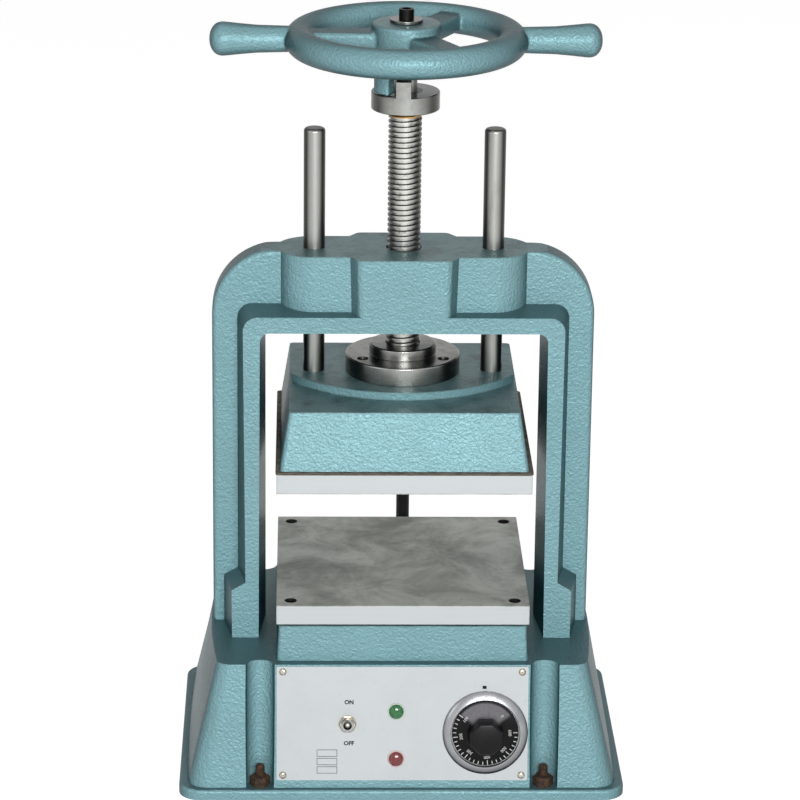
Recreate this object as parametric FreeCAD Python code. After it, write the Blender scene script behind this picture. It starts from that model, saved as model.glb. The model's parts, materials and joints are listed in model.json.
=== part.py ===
import FreeCAD, Part
import math
import os

from FreeCAD import Placement, Rotation, Vector

# Rubber mold vulcanizer: a screw press with two heated platens, in millimetres.
# The press axis is Z, the operator stands at -Y, and z = 0 is the bench.

# Fits and seats
RUNNING_GAP = 0.05
THREAD_GAP = 0.05
SEAT_GAP = 0.3
PIN_GAP = 0.05

# Base casting
RIM_HALF_X = 214.0
RIM_HALF_Y = 156.0
RIM_HEIGHT = 10.0
RIM_CORNER = 22.0
RIM_EDGE = 3.0
FOOT_HALF_X = 206.0
FOOT_BULGE = 2.0
FOOT_HALF_Y = 148.5
FOOT_CORNER = 20.0
SHELF_HALF_X = 178.0
SHELF_BULGE = 7.0
SHELF_HALF_Y = 130.5
SHELF_CORNER = 14.0
SHELF_Z = 130.0
SHELF_THICK = 12.0
BASE_WALL = 8.0
PLINTH_TOP_HALF = 118.5
PLINTH_FOOT_FLARE = 2.0
PLINTH_HEIGHT = 35.0
PLINTH_CORNER = 4.0
PLINTH_ROOF = 14.0
FLUTE_X = 136.0
FLUTE_RADIUS = 14.0
FLUTE_WALL = 6.0
FLUTE_TOP_Y = 132.5
FLUTE_FOOT_Y = 144.0
BENCH_HOLE_X = 136.0
BENCH_HOLE_Y = 140.5
BENCH_HOLE_RADIUS = 5.2
WINDOW_HALF_X = 106.0
WINDOW_HALF_V = 44.0
WINDOW_CORNER = 8.0

# Bottom cover
COVER_THICK = 2.0
COVER_CORNER = 12.0
COVER_POST_X = 170.0
COVER_POST_Y = 95.0
COVER_POST_RADIUS = 9.0
COVER_SCREW_RADIUS = 2.5
COVER_SCREW_HEAD = 4.5
COVER_SCREW_SINK = 0.2
COVER_SCREW_LENGTH = 12.0

# Hold-down studs at the two front flutes
STUD_RADIUS = 4.4
STUD_TOP = 31.0
STUD_LIFT = 0.5
STUD_NUT_FLATS = 17.0
STUD_NUT_HEIGHT = 9.5

# Press frame
FRAME_HALF_X = 183.0
FRAME_PLATE_HALF_Y = 17.0
CROSSHEAD_H = 72.0
FRAME_SHOULDER = 65.0
FRAME_SHOULDER_RISE = 2.0
FRAME_EDGE = 5.0
HEAD_RAISE_ROOM = 22.9
RIB_IN_X = 132.0
RIB_OUT_X = 162.0
RIB_TOP_RISE = 23.0
RIB_IN_DRAFT = 0.10
RIB_OUT_DRAFT = 0.186
RIB_TOP_DRAFT = 0.15
RIB_TOP_HALF_Y = 48.5
RIB_FOOT_HALF_Y = 62.5
RIB_REACH = 70.0
RIB_OUT_CORNER = 14.0
RIB_IN_CORNER = 9.0
FOOT_PAD_OUT = 13.6
FOOT_PAD_Z = 48.0
FOOT_PAD_SLOPE = 8.0
BLOCK_TOP_HALF_X = 43.5
BLOCK_LOW_HALF_X = 41.5
BLOCK_HALF_Y = 48.5
BLOCK_FLANK_OUT = 8.0
BLOCK_CORNER = 8.0
ROD_X = 85.5
ROD_BOSS_RADIUS = 36.0
ROD_BOSS_SINK = 15.0
FRAME_BOLT_X = 150.0
FRAME_BOLT_Y = 34.0
FRAME_BOLT_RADIUS = 5.0
FRAME_BOLT_GRIP = 26.0
FRAME_BOLT_FLATS = 16.0
FRAME_BOLT_HEAD_H = 6.5

# Lead screw and its nut
SCREW_RADIUS = 15.875
SCREW_NUT_RADIUS = 24.0
SCREW_NUT_LENGTH = 58.0
SCREW_NUT_HOLE = 17.2
NUT_LOCK_RADIUS = 3.0
NUT_LOCK_BITE = 3.0
NUT_LOCK_LENGTH = 14.0
NUT_LOCK_RISE = 35.0
SCREW_SHOULDER_RADIUS = 24.0
SCREW_SHOULDER_H = 12.0
SCREW_SPIGOT_RADIUS = 11.0
THRUST_WASHER_RADIUS = 26.0
THRUST_WASHER_H = 4.0
THRUST_AXIAL_GAP = 0.1
THRUST_POCKET_CLEAR = 0.3

# Guide rods
ROD_RADIUS = 10.25
ROD_RISE = 117.0
ROD_SINK = 26.0
ROD_DOME = 3.0
BUSHING_WALL = 3.5
BUSHING_LENGTH = 40.0

# Platens and their insulation boards
INSULATION_H = 2.5
LOWER_BOARD_HALF = 114.0
UPPER_BOARD_HALF = 121.6
PLATEN_HALF = 120.65
PLATEN_H = 19.05
PLATEN_GAP = 113.0
PLATEN_EDGE = 0.8
PLATEN_SCREW_AT = 107.0
PLATEN_SCREW_RADIUS = 3.0
PLATEN_SCREW_LENGTH = 27.0
PLATEN_SCREW_HEAD_RADIUS = 5.0
PLATEN_SCREW_HEAD_H = 6.0
PLATEN_CBORE_RADIUS = 5.6
PLATEN_CBORE_DEPTH = 8.5
PLATEN_CLEAR_RADIUS = 3.4
HEATER_RADIUS = 6.35
HEATER_GAP = 0.1
HEATER_LENGTH = 200.0
HEATER_FROM_REAR = 2.0
HEATER_X = 62.0
BULB_RADIUS = 3.2
BULB_LENGTH = 80.0
BULB_X = 18.0

# Upper head
HEAD_LOW_HALF_X = 117.5
HEAD_LOW_HALF_Y = 118.0
HEAD_TOP_HALF_X = 109.0
HEAD_TOP_HALF_Y = 107.0
HEAD_H = 55.0
HEAD_CORNER = 4.0
HEAD_WALL = 9.0
HEAD_ROOF = 14.0
PAD_H = 8.0
PAD_END_X = 106.5
PAD_END_Y = 15.0
PAD_MID_Y = 71.5
HEAD_CORE_RADIUS = 60.0
HEAD_ROD_CORE = 20.0
HEAD_CORNER_CORE = 10.0
HEAD_RIB_REAR = 84.0
HEAD_RIB_LIFT = 8.0

# Bearing flange on the head
FLANGE_RADIUS = 55.0
FLANGE_H = 18.0
FLANGE_BOSS_RADIUS = 32.0
FLANGE_BOSS_H = 10.0
FLANGE_EDGE = 1.0
FLANGE_BORE_CLEAR = 0.7
FLANGE_SCREW_COUNT = 3
FLANGE_SCREW_CIRCLE = 44.6
FLANGE_SCREW_START = 90.0
FLANGE_SCREW_RADIUS = 3.2
FLANGE_SCREW_HEAD = 5.0
FLANGE_SCREW_HEAD_H = 6.5
FLANGE_SCREW_DEEP = 15.0
FLANGE_CBORE_RADIUS = 5.4
FLANGE_CBORE_DEPTH = 8.5

# Stop collar with its dog
COLLAR_RISE = 136.3
COLLAR_RADIUS = 32.5
COLLAR_H = 17.1
COLLAR_EDGE = 0.8
DOG_HALF_WIDTH = 7.0
DOG_INNER = 21.0
DOG_H = 15.2
DOG_TURN = -5.0
COLLAR_PIN_RADIUS = 3.0
COLLAR_PIN_LIFT = 8.5
COLLAR_PIN_RECESS = 0.5

# Hand wheel
RIM_RISE = 31.3
RING_RADIUS = 100.3
RING_TUBE = 14.1
HUB_RADIUS = 32.5
HUB_BOTTOM_CLEAR = 2.4
HUB_H = 48.0
HUB_EDGE = 2.0
SPOKE_COUNT = 3
SPOKE_START = 180.0
SPOKE_HUB_HALF = 15.0
SPOKE_RING_HALF = 12.0
SPOKE_TOP = 8.5
SPOKE_BOTTOM = 8.5
SPOKE_EDGE = 3.0
HANDLE_TIP = 184.5
HANDLE_ROOT_RADIUS = 12.4
HANDLE_TIP_RADIUS = 16.2
HANDLE_DOME = 7.0
LUG_INNER = 20.0
LUG_FROM = 199.0
LUG_TO = 238.0
LUG_CLEAR = 0.6
HUB_BORE_GAP = 0.08
HUB_WASHER_RADIUS = 15.6
HUB_WASHER_H = 3.0
HUB_END_PLAY = 0.4
CAP_SCREW_RADIUS = 4.7
CAP_SCREW_LENGTH = 25.0
CAP_SCREW_HEAD = 7.15
CAP_SCREW_HEAD_H = 9.5
CAP_SOCKET_FLATS = 7.9
CAP_SOCKET_DEPTH = 5.0

# Control panel
PANEL_HALF_X = 120.3
PANEL_HALF_V = 56.0
PANEL_THICK = 1.6
PANEL_CORNER = 1.5
PANEL_CENTRE_Z = 73.3
PANEL_SCREW_U = 114.2
PANEL_SCREW_V = 50.9
PANEL_SCREW_RADIUS = 1.8
PANEL_SCREW_HEAD = 3.4
PANEL_SCREW_HEAD_H = 1.6
PANEL_SCREW_LENGTH = 7.0

# Toggle switch
SWITCH_U = -52.5
SWITCH_V = -0.3
SWITCH_BODY_X = 13.0
SWITCH_BODY_V = 17.0
SWITCH_BODY_DEEP = 20.0
SWITCH_BUSH_RADIUS = 5.9
SWITCH_BUSH_OUT = 7.0
SWITCH_BUSH_BORE = 4.2
SWITCH_NUT_FLATS = 14.3
SWITCH_NUT_H = 2.6
SWITCH_RING_RADIUS = 8.4
SWITCH_RING_H = 1.0
LEVER_PIVOT = 1.0
LEVER_LENGTH = 17.0
LEVER_ROOT_RADIUS = 1.7
LEVER_TIP_RADIUS = 2.9
LEVER_BALL_RADIUS = 3.4
LEVER_PIN_RADIUS = 1.0
LEVER_PIN_HALF = 4.7
LEVER_TILT = 12.0

# Indicator lamps
LAMP_U = -5.9
POWER_LAMP_V = 12.1
HEAT_LAMP_V = -34.6
LAMP_LENS_RADIUS = 6.9
LAMP_LENS_OUT = 5.2
LAMP_RIM_RADIUS = 8.3
LAMP_RIM_H = 1.4
LAMP_BODY_RADIUS = 6.4
LAMP_BODY_DEEP = 24.0

# Thermostat and its dial knob
DIAL_U = 79.4
DIAL_V = -8.6
THERMOSTAT_RADIUS = 26.0
THERMOSTAT_DEEP = 34.0
THERMOSTAT_NECK_RADIUS = 7.0
SHAFT_RADIUS = 3.0
SHAFT_OUT = 20.0
SHAFT_SINK = 12.0
BEZEL_RADIUS = 40.8
BEZEL_INNER = 32.6
BEZEL_H = 5.0
BEZEL_LIP = 1.6
KNOB_SKIRT_RADIUS = 31.9
KNOB_SKIRT_H = 3.0
KNOB_LIFT = 1.2
KNOB_SHOULDER_RADIUS = 21.0
KNOB_SHOULDER_H = 5.0
KNOB_GRIP_FLATS = 30.0
KNOB_TOP = 27.0
KNOB_GRIP_SIDES = 8
KNOB_GRIP_EDGE = 1.6

# Terminals, glands and the heater lead
TERMINAL_HALF_X = 30.0
TERMINAL_HALF_Y = 11.0
TERMINAL_H = 18.0
TERMINAL_Y = 70.0
TERMINAL_SLOTS = 5
TERMINAL_SLOT_HALF = 4.0
TERMINAL_SLOT_DEEP = 9.0
TERMINAL_LEG_RADIUS = 4.0
GLAND_NUT_FLATS = 22.0
GLAND_NUT_H = 6.0
GLAND_THREAD_RADIUS = 8.6
GLAND_DOME_RADIUS = 9.6
GLAND_DOME_H = 6.0
GLAND_LOCKNUT_H = 4.0
CORD_BORE = 4.2
CORD_GLAND_X = 70.0
CORD_GLAND_Z = 45.0
LEAD_X = 6.5
LEAD_RADIUS = 6.6
LEAD_BACK_Y = 164.0
LEAD_BASE_Z = 92.0
LEAD_HEAD_UP = 26.0
LEAD_END_GAP = 0.3

# Heights that follow from the stack
PLINTH_Z = SHELF_Z + PLINTH_HEIGHT
LOWER_PLATEN_Z = PLINTH_Z + INSULATION_H
LOWER_FACE_Z = LOWER_PLATEN_Z + PLATEN_H
UPPER_FACE_Z = LOWER_FACE_Z + PLATEN_GAP
UPPER_PLATEN_TOP = UPPER_FACE_Z + PLATEN_H
HEAD_Z = UPPER_PLATEN_TOP + INSULATION_H
HEAD_TOP = HEAD_Z + HEAD_H
PAD_TOP = HEAD_TOP + PAD_H
FLANGE_TOP = PAD_TOP + FLANGE_H
FLANGE_BOSS_TOP = FLANGE_TOP + FLANGE_BOSS_H
SHOULDER_TOP = PAD_TOP - THRUST_WASHER_H - THRUST_AXIAL_GAP
SHOULDER_Z = SHOULDER_TOP - SCREW_SHOULDER_H
POCKET_Z = SHOULDER_Z - THRUST_AXIAL_GAP - THRUST_WASHER_H
CROSSHEAD_Z = FLANGE_BOSS_TOP + HEAD_RAISE_ROOM
FRAME_TOP = CROSSHEAD_Z + CROSSHEAD_H
RIB_TOP_Z = CROSSHEAD_Z + RIB_TOP_RISE
NUT_LOCK_Z = CROSSHEAD_Z + NUT_LOCK_RISE
ROD_TOP = FRAME_TOP + ROD_RISE
COLLAR_Z = FRAME_TOP + COLLAR_RISE
COLLAR_TOP = COLLAR_Z + COLLAR_H
DOG_TOP = COLLAR_TOP + DOG_H
HUB_Z = DOG_TOP + HUB_BOTTOM_CLEAR
HUB_TOP = HUB_Z + HUB_H
WHEEL_Z = HUB_Z + RIM_RISE
HUB_WASHER_Z = HUB_TOP + HUB_END_PLAY
CAP_HEAD_Z = HUB_WASHER_Z + HUB_WASHER_H
ROD_Z = PAD_TOP - ROD_SINK

# The panel leans back with the front wall
PANEL_LEAN = math.degrees(math.atan2(FOOT_HALF_Y - SHELF_HALF_Y, SHELF_Z - RIM_HEIGHT))
X_AXIS = Vector(1, 0, 0)
Y_AXIS = Vector(0, 1, 0)
Z_AXIS = Vector(0, 0, 1)
FULL_TURN = 360.0


def half_depth_at(z):
    """Half depth of the base walls at a height, before any corner rounding."""
    share = (z - RIM_HEIGHT) / (SHELF_Z - RIM_HEIGHT)
    return FOOT_HALF_Y + (SHELF_HALF_Y - FOOT_HALF_Y) * share


def half_width_at(z):
    share = (z - RIM_HEIGHT) / (SHELF_Z - RIM_HEIGHT)
    return FOOT_HALF_X + (SHELF_HALF_X - FOOT_HALF_X) * share


def block(x0, x1, y0, y1, z0, z1):
    return Part.makeBox(x1 - x0, y1 - y0, z1 - z0, Vector(x0, y0, z0))


def rod(radius, z0, z1, x=0.0, y=0.0):
    return Part.makeCylinder(radius, z1 - z0, Vector(x, y, z0), Z_AXIS)


def ring(outer, inner, z0, z1, x=0.0, y=0.0):
    return rod(outer, z0, z1, x, y).cut(rod(inner, z0, z1, x, y))


def bar(radius, start, direction, length):
    return Part.makeCylinder(radius, length, start, direction)


def hexagon_prism(flats, z0, z1, x=0.0, y=0.0, sides=6):
    corner = flats / 2 / math.cos(math.pi / sides)
    points = []
    for i in range(sides + 1):
        turn = (i + 0.5) * 2 * math.pi / sides
        points.append(Vector(x + corner * math.cos(turn), y + corner * math.sin(turn), z0))
    return Part.Face(Part.makePolygon(points)).extrude(Vector(0, 0, z1 - z0))


def quarter(cx, cy, radius, start, z):
    """Quarter arc about a corner centre, from a start angle in degrees."""
    points = []
    for turn in (start, start + 45, start + 90):
        angle = math.radians(turn)
        points.append(Vector(cx + radius * math.cos(angle), cy + radius * math.sin(angle), z))
    return Part.Arc(*points).toShape()


def plan_wire(half_x, half_y, corner, z, bulge=0.0, cx=0.0, cy=0.0):
    """Rounded rectangle in a level plane; its left and right sides can bulge outward."""
    inner_x = half_x - corner
    inner_y = half_y - corner
    edges = []
    centres = ((1, -1, 270), (1, 1, 0), (-1, 1, 90), (-1, -1, 180))
    for side_x, side_y, start in centres:
        edges.append(quarter(cx + side_x * inner_x, cy + side_y * inner_y, corner, start, z))
        if side_x * side_y < 0:
            x = cx + side_x * half_x
            first = Vector(x, cy + side_y * inner_y, z)
            last = Vector(x, cy - side_y * inner_y, z)
            if bulge:
                middle = Vector(x + side_x * bulge, cy, z)
                edges.append(Part.Arc(first, middle, last).toShape())
            else:
                edges.append(Part.LineSegment(first, last).toShape())
        else:
            y = cy + side_y * half_y
            first = Vector(cx + side_x * inner_x, y, z)
            last = Vector(cx - side_x * inner_x, y, z)
            edges.append(Part.LineSegment(first, last).toShape())
    return Part.Wire(edges)


def slab(half_x, half_y, corner, z0, z1, cx=0.0, cy=0.0):
    face = Part.Face(plan_wire(half_x, half_y, corner, z0, 0.0, cx, cy))
    return face.extrude(Vector(0, 0, z1 - z0))


def taper(low, high):
    return Part.makeLoft([low, high], True, True)


def outline_xz(points, y0, y1):
    """Prism of an outline in the X-Z plane, between two Y values."""
    corners = [Vector(x, y0, z) for x, z in points]
    return Part.Face(Part.makePolygon(corners + corners[:1])).extrude(Vector(0, y1 - y0, 0))


def outline_yz(points, x0, x1):
    corners = [Vector(x0, y, z) for y, z in points]
    return Part.Face(Part.makePolygon(corners + corners[:1])).extrude(Vector(x1 - x0, 0, 0))


def turned(points):
    """Solid of revolution about Z from (radius, z) points."""
    corners = [Vector(r, 0, z) for r, z in points]
    face = Part.Face(Part.makePolygon(corners + corners[:1]))
    return face.revolve(Vector(0, 0, 0), Z_AXIS, FULL_TURN)


def dome_arc(radius, low, high):
    """Arc of a sphere centred on Z, from a rim at low to the pole at high."""
    rise = high - low
    ball = (radius * radius + rise * rise) / (2 * rise)
    half = math.asin(radius / ball) / 2
    middle = Vector(ball * math.sin(half), 0, high - ball + ball * math.cos(half))
    return Part.Arc(Vector(radius, 0, low), middle, Vector(0, 0, high)).toShape()


def mirrored(shape, normal):
    return shape.mirror(Vector(0, 0, 0), normal)


def four_corners(at_x, at_y):
    return [(sx * at_x, sy * at_y) for sx in (-1, 1) for sy in (-1, 1)]


def together(shapes):
    return Part.makeCompound(shapes)


def cut_all(shape, tools):
    for tool in tools:
        shape = shape.cut(tool)
    return shape


def joined(shape, others):
    for other in others:
        shape = shape.fuse(other)
    return shape.removeSplitter()


def on_panel(shape, u, v, lift=0.0):
    """Places a shape built on the X-Y plane, with Z outward, on the panel's front face."""
    lean = math.radians(PANEL_LEAN)
    front = half_depth_at(PANEL_CENTRE_Z) + PANEL_THICK / math.cos(lean)
    centre = Vector(0, -front, PANEL_CENTRE_Z)
    turn = Rotation(X_AXIS, 90 - PANEL_LEAN)
    spot = centre + turn.multVec(Vector(u, v, lift))
    moved = shape.copy()
    moved.Placement = Placement(spot, turn).multiply(moved.Placement)
    return moved


def save(name, shape):
    shape.exportStep(os.path.join("parts", name + ".step"))


# Base


def base_body(inset, z0, z1):
    """The tapered body of the base between two heights, pulled in by an inset."""
    corner_share = (SHELF_CORNER - FOOT_CORNER) / (SHELF_Z - RIM_HEIGHT)
    wires = []
    for z in (z0, z1):
        corner = max(FOOT_CORNER + corner_share * (z - RIM_HEIGHT) - inset, 3.0)
        share = (z - RIM_HEIGHT) / (SHELF_Z - RIM_HEIGHT)
        bulge = FOOT_BULGE + (SHELF_BULGE - FOOT_BULGE) * share
        wires.append(plan_wire(half_width_at(z) - inset, half_depth_at(z) - inset, corner, z, bulge))
    return taper(wires[0], wires[1])


def flute(side_x, side_y, radius):
    foot = Vector(side_x * FLUTE_X, side_y * FLUTE_FOOT_Y, RIM_HEIGHT)
    top = Vector(side_x * FLUTE_X, side_y * FLUTE_TOP_Y, SHELF_Z)
    along = top.sub(foot)
    extra = along.Length * 0.25
    return bar(radius, foot.sub(along * 0.25), along, along.Length + 2 * extra)


def base_casting():
    rim = slab(RIM_HALF_X, RIM_HALF_Y, RIM_CORNER, 0, RIM_HEIGHT)
    top_edges = [e for e in rim.Edges if e.BoundBox.ZMin > RIM_HEIGHT - 0.1]
    rim = rim.makeFillet(RIM_EDGE, top_edges)
    body = base_body(0.0, RIM_HEIGHT, SHELF_Z)
    for side_x in (-1, 1):
        for side_y in (-1, 1):
            above_rim = flute(side_x, side_y, FLUTE_RADIUS)
            above_rim = above_rim.cut(block(-RIM_HALF_X, RIM_HALF_X, -RIM_HALF_Y * 2,
                                            RIM_HALF_Y * 2, -SHELF_Z, RIM_HEIGHT))
            body = body.cut(above_rim)
    low = plan_wire(PLINTH_TOP_HALF + PLINTH_FOOT_FLARE, PLINTH_TOP_HALF + PLINTH_FOOT_FLARE,
                    PLINTH_CORNER, SHELF_Z)
    high = plan_wire(PLINTH_TOP_HALF, PLINTH_TOP_HALF, PLINTH_CORNER, PLINTH_Z)
    solid = joined(rim, [body, taper(low, high)])
    cavity = base_body(BASE_WALL, 0.0, SHELF_Z - SHELF_THICK)
    inner = PLINTH_TOP_HALF - BASE_WALL
    cavity = cavity.fuse(slab(inner, inner, PLINTH_CORNER, SHELF_Z - SHELF_THICK - 1,
                              PLINTH_Z - PLINTH_ROOF))
    for side_x in (-1, 1):
        for side_y in (-1, 1):
            cavity = cavity.cut(flute(side_x, side_y, FLUTE_RADIUS + FLUTE_WALL))
    for x, y in four_corners(PLATEN_SCREW_AT, PLATEN_SCREW_AT):
        cavity = cavity.cut(rod(HEAD_CORNER_CORE, SHELF_Z - SHELF_THICK, PLINTH_Z, x, y))
    for x, y in four_corners(COVER_POST_X, COVER_POST_Y):
        cavity = cavity.cut(rod(COVER_POST_RADIUS, COVER_THICK, SHELF_Z, x, y))
    solid = solid.cut(cavity)
    window = slab(WINDOW_HALF_X, WINDOW_HALF_V, WINDOW_CORNER, -BASE_WALL * 2, BASE_WALL)
    tools = [on_panel(window, 0, 0)]
    for x, y in four_corners(BENCH_HOLE_X, BENCH_HOLE_Y):
        radius = STUD_RADIUS + THREAD_GAP if y < 0 else BENCH_HOLE_RADIUS
        tools.append(rod(radius, -1, RIM_HEIGHT + 1, x, y))
    for x, y in four_corners(FRAME_BOLT_X, FRAME_BOLT_Y):
        tools.append(rod(FRAME_BOLT_RADIUS + SEAT_GAP, SHELF_Z - SHELF_THICK * 2, SHELF_Z + 1, x, y))
    for x, y in four_corners(PLATEN_SCREW_AT, PLATEN_SCREW_AT):
        deep = LOWER_FACE_Z - PLATEN_CBORE_DEPTH - PLATEN_SCREW_LENGTH - 1
        tools.append(rod(PLATEN_SCREW_RADIUS + THREAD_GAP, deep, PLINTH_Z + 1, x, y))
    for x, y in four_corners(COVER_POST_X, COVER_POST_Y):
        tools.append(rod(COVER_SCREW_RADIUS + THREAD_GAP, 0, COVER_SCREW_LENGTH + 2, x, y))
    for u in (-PANEL_SCREW_U, PANEL_SCREW_U):
        for v in (-PANEL_SCREW_V, PANEL_SCREW_V):
            hole = rod(PANEL_SCREW_RADIUS + THREAD_GAP, -PANEL_SCREW_LENGTH - 1, 1)
            tools.append(on_panel(hole, u, v))
    for x, z in ((CORD_GLAND_X, CORD_GLAND_Z), (LEAD_X, LEAD_BASE_Z)):
        start = Vector(x, RIM_HALF_Y, z)
        tools.append(bar(GLAND_THREAD_RADIUS + THREAD_GAP, start, Vector(0, -1, 0), BASE_WALL * 6))
        face_y = half_depth_at(z) - BASE_WALL * 0.1
        tools.append(bar(GLAND_NUT_FLATS * 0.62, Vector(x, face_y - BASE_WALL * 0.25, z),
                         Y_AXIS, BASE_WALL * 4))
    return cut_all(solid, tools)


def bottom_cover():
    x = half_width_at(0) - BASE_WALL - SEAT_GAP
    y = half_depth_at(0) - BASE_WALL - SEAT_GAP
    sheet = slab(x, y, COVER_CORNER, 0, COVER_THICK)
    for side_x in (-1, 1):
        for side_y in (-1, 1):
            sheet = sheet.cut(flute(side_x, side_y, FLUTE_RADIUS + FLUTE_WALL + SEAT_GAP))
    holes = [cover_screw_head(SEAT_GAP, -COVER_THICK, COVER_THICK, x, y)
             for x, y in four_corners(COVER_POST_X, COVER_POST_Y)]
    return cut_all(sheet, holes)


def cover_screw_head(gap, low, high, x, y):
    """Countersunk head, widest at the bottom, between two heights."""
    slope = (COVER_SCREW_HEAD - COVER_SCREW_RADIUS) / (COVER_THICK - COVER_SCREW_SINK)
    wide = COVER_SCREW_HEAD + gap - slope * (low - COVER_SCREW_SINK)
    narrow = COVER_SCREW_HEAD + gap - slope * (high - COVER_SCREW_SINK)
    return Part.makeCone(wide, narrow, high - low, Vector(x, y, low), Z_AXIS)


def bottom_cover_screws():
    shapes = []
    for x, y in four_corners(COVER_POST_X, COVER_POST_Y):
        head = cover_screw_head(0.0, COVER_SCREW_SINK, COVER_THICK, x, y)
        shapes.append(head.fuse(rod(COVER_SCREW_RADIUS, COVER_THICK, COVER_SCREW_LENGTH, x, y)))
    return together(shapes)


def hold_down_studs():
    shapes = []
    for side in (-1, 1):
        stud = rod(STUD_RADIUS, STUD_LIFT, STUD_TOP, side * BENCH_HOLE_X, -BENCH_HOLE_Y)
        top = [e for e in stud.Edges if e.BoundBox.ZMin > STUD_TOP - 0.1]
        shapes.append(stud.makeChamfer(1.0, top))
    return together(shapes)


def hold_down_nuts():
    shapes = []
    for side in (-1, 1):
        x = side * BENCH_HOLE_X
        y = -BENCH_HOLE_Y
        nut = hexagon_prism(STUD_NUT_FLATS, RIM_HEIGHT, RIM_HEIGHT + STUD_NUT_HEIGHT, x, y)
        bore = rod(STUD_RADIUS + THREAD_GAP, RIM_HEIGHT - 1, STUD_TOP, x, y)
        shapes.append(nut.cut(bore))
    return together(shapes)


# Press frame


def portal_wire(out_x, top_z, corner, y, low_z):
    """Inverted U in the plane of one Y value, closed along its foot, with rounded top corners."""
    arcs = []
    for side in (1, -1):
        centre_x = side * (out_x - corner)
        centre_z = top_z - corner
        turns = (0, 45, 90) if side > 0 else (90, 135, 180)
        points = [Vector(centre_x + corner * math.cos(math.radians(t)), y,
                         centre_z + corner * math.sin(math.radians(t))) for t in turns]
        arcs.append(Part.Arc(*points).toShape())
    right_foot = Vector(out_x, y, low_z)
    left_foot = Vector(-out_x, y, low_z)
    edges = [
        Part.LineSegment(right_foot, Vector(out_x, y, top_z - corner)).toShape(),
        arcs[0],
        Part.LineSegment(Vector(out_x - corner, y, top_z), Vector(corner - out_x, y, top_z)).toShape(),
        arcs[1],
        Part.LineSegment(Vector(-out_x, y, top_z - corner), left_foot).toShape(),
        Part.LineSegment(left_foot, right_foot).toShape(),
    ]
    return Part.Wire(edges)


def rib_half():
    """Front half of the deep inner rib, drafted away from the parting plane."""
    reach = RIB_REACH
    outer = taper(
        portal_wire(RIB_OUT_X, RIB_TOP_Z, RIB_OUT_CORNER, 0, SHELF_Z),
        portal_wire(RIB_OUT_X - RIB_OUT_DRAFT * reach, RIB_TOP_Z - RIB_TOP_DRAFT * reach,
                    RIB_OUT_CORNER, -reach, SHELF_Z),
    )
    inner = taper(
        portal_wire(RIB_IN_X, CROSSHEAD_Z, RIB_IN_CORNER, 0, SHELF_Z - 1),
        portal_wire(RIB_IN_X + RIB_IN_DRAFT * reach, CROSSHEAD_Z, RIB_IN_CORNER, -reach, SHELF_Z - 1),
    )
    return outer.cut(inner)


def foot_half(side):
    """Front half of one foot, stepped outward from the rib above it."""
    wires = []
    for y, inner, outer in (
        (0.0, RIB_IN_X, RIB_OUT_X),
        (-RIB_REACH, RIB_IN_X + RIB_IN_DRAFT * RIB_REACH, RIB_OUT_X - RIB_OUT_DRAFT * RIB_REACH),
    ):
        wide = outer + FOOT_PAD_OUT
        top = SHELF_Z + FOOT_PAD_Z + FOOT_PAD_SLOPE
        points = [
            Vector(side * inner, y, SHELF_Z),
            Vector(side * wide, y, SHELF_Z),
            Vector(side * wide, y, SHELF_Z + FOOT_PAD_Z),
            Vector(side * outer, y, top),
            Vector(side * inner, y, top),
        ]
        wires.append(Part.makePolygon(points + points[:1]))
    return taper(wires[0], wires[1])


def frame_plate():
    arc_z = FRAME_TOP + FRAME_SHOULDER_RISE - FRAME_SHOULDER
    outer = portal_wire(FRAME_HALF_X, arc_z + FRAME_SHOULDER, FRAME_SHOULDER,
                        -FRAME_PLATE_HALF_Y, SHELF_Z)
    plate = Part.Face(outer).extrude(Vector(0, 2 * FRAME_PLATE_HALF_Y, 0))
    rounded = [e for e in plate.Edges
               if e.BoundBox.ZMax > SHELF_Z + 1 and e.BoundBox.YLength < 1]
    plate = plate.makeFillet(FRAME_EDGE, rounded)
    window = block(-RIB_IN_X - 4, RIB_IN_X + 4, -FRAME_PLATE_HALF_Y * 2, FRAME_PLATE_HALF_Y * 2,
                   SHELF_Z - 1, CROSSHEAD_Z + 4)
    above = block(-FRAME_HALF_X, FRAME_HALF_X, -RIB_REACH, RIB_REACH, FRAME_TOP,
                  FRAME_TOP + FRAME_SHOULDER)
    return plate.cut(window).cut(above)


def boss_web():
    """Both rod bosses, joined across the crosshead by a flat-sided web as deep as they are."""
    low = CROSSHEAD_Z + ROD_BOSS_SINK
    web = block(-ROD_X, ROD_X, -ROD_BOSS_RADIUS, ROD_BOSS_RADIUS, low, FRAME_TOP)
    return joined(web, [rod(ROD_BOSS_RADIUS, low, FRAME_TOP, side * ROD_X) for side in (-1, 1)])


def crosshead_block():
    """Middle of the crosshead, whose flanks slope back to the web on either side."""
    wires = []
    for half_x, z in ((BLOCK_LOW_HALF_X, CROSSHEAD_Z), (BLOCK_TOP_HALF_X, FRAME_TOP)):
        root = half_x + BLOCK_FLANK_OUT
        right = [(half_x, -BLOCK_HALF_Y), (root, -ROD_BOSS_RADIUS),
                 (root, ROD_BOSS_RADIUS), (half_x, BLOCK_HALF_Y)]
        left = [(-x, y) for x, y in reversed(right)]
        points = [Vector(x, y, z) for x, y in right + left]
        wires.append(Part.makePolygon(points + points[:1]))
    solid = taper(wires[0], wires[1])
    corners = [e for e in solid.Edges
               if e.BoundBox.ZLength > CROSSHEAD_H / 2 and abs(e.CenterOfMass.y) > BLOCK_HALF_Y - 1]
    return solid.makeFillet(BLOCK_CORNER, corners)


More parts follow.
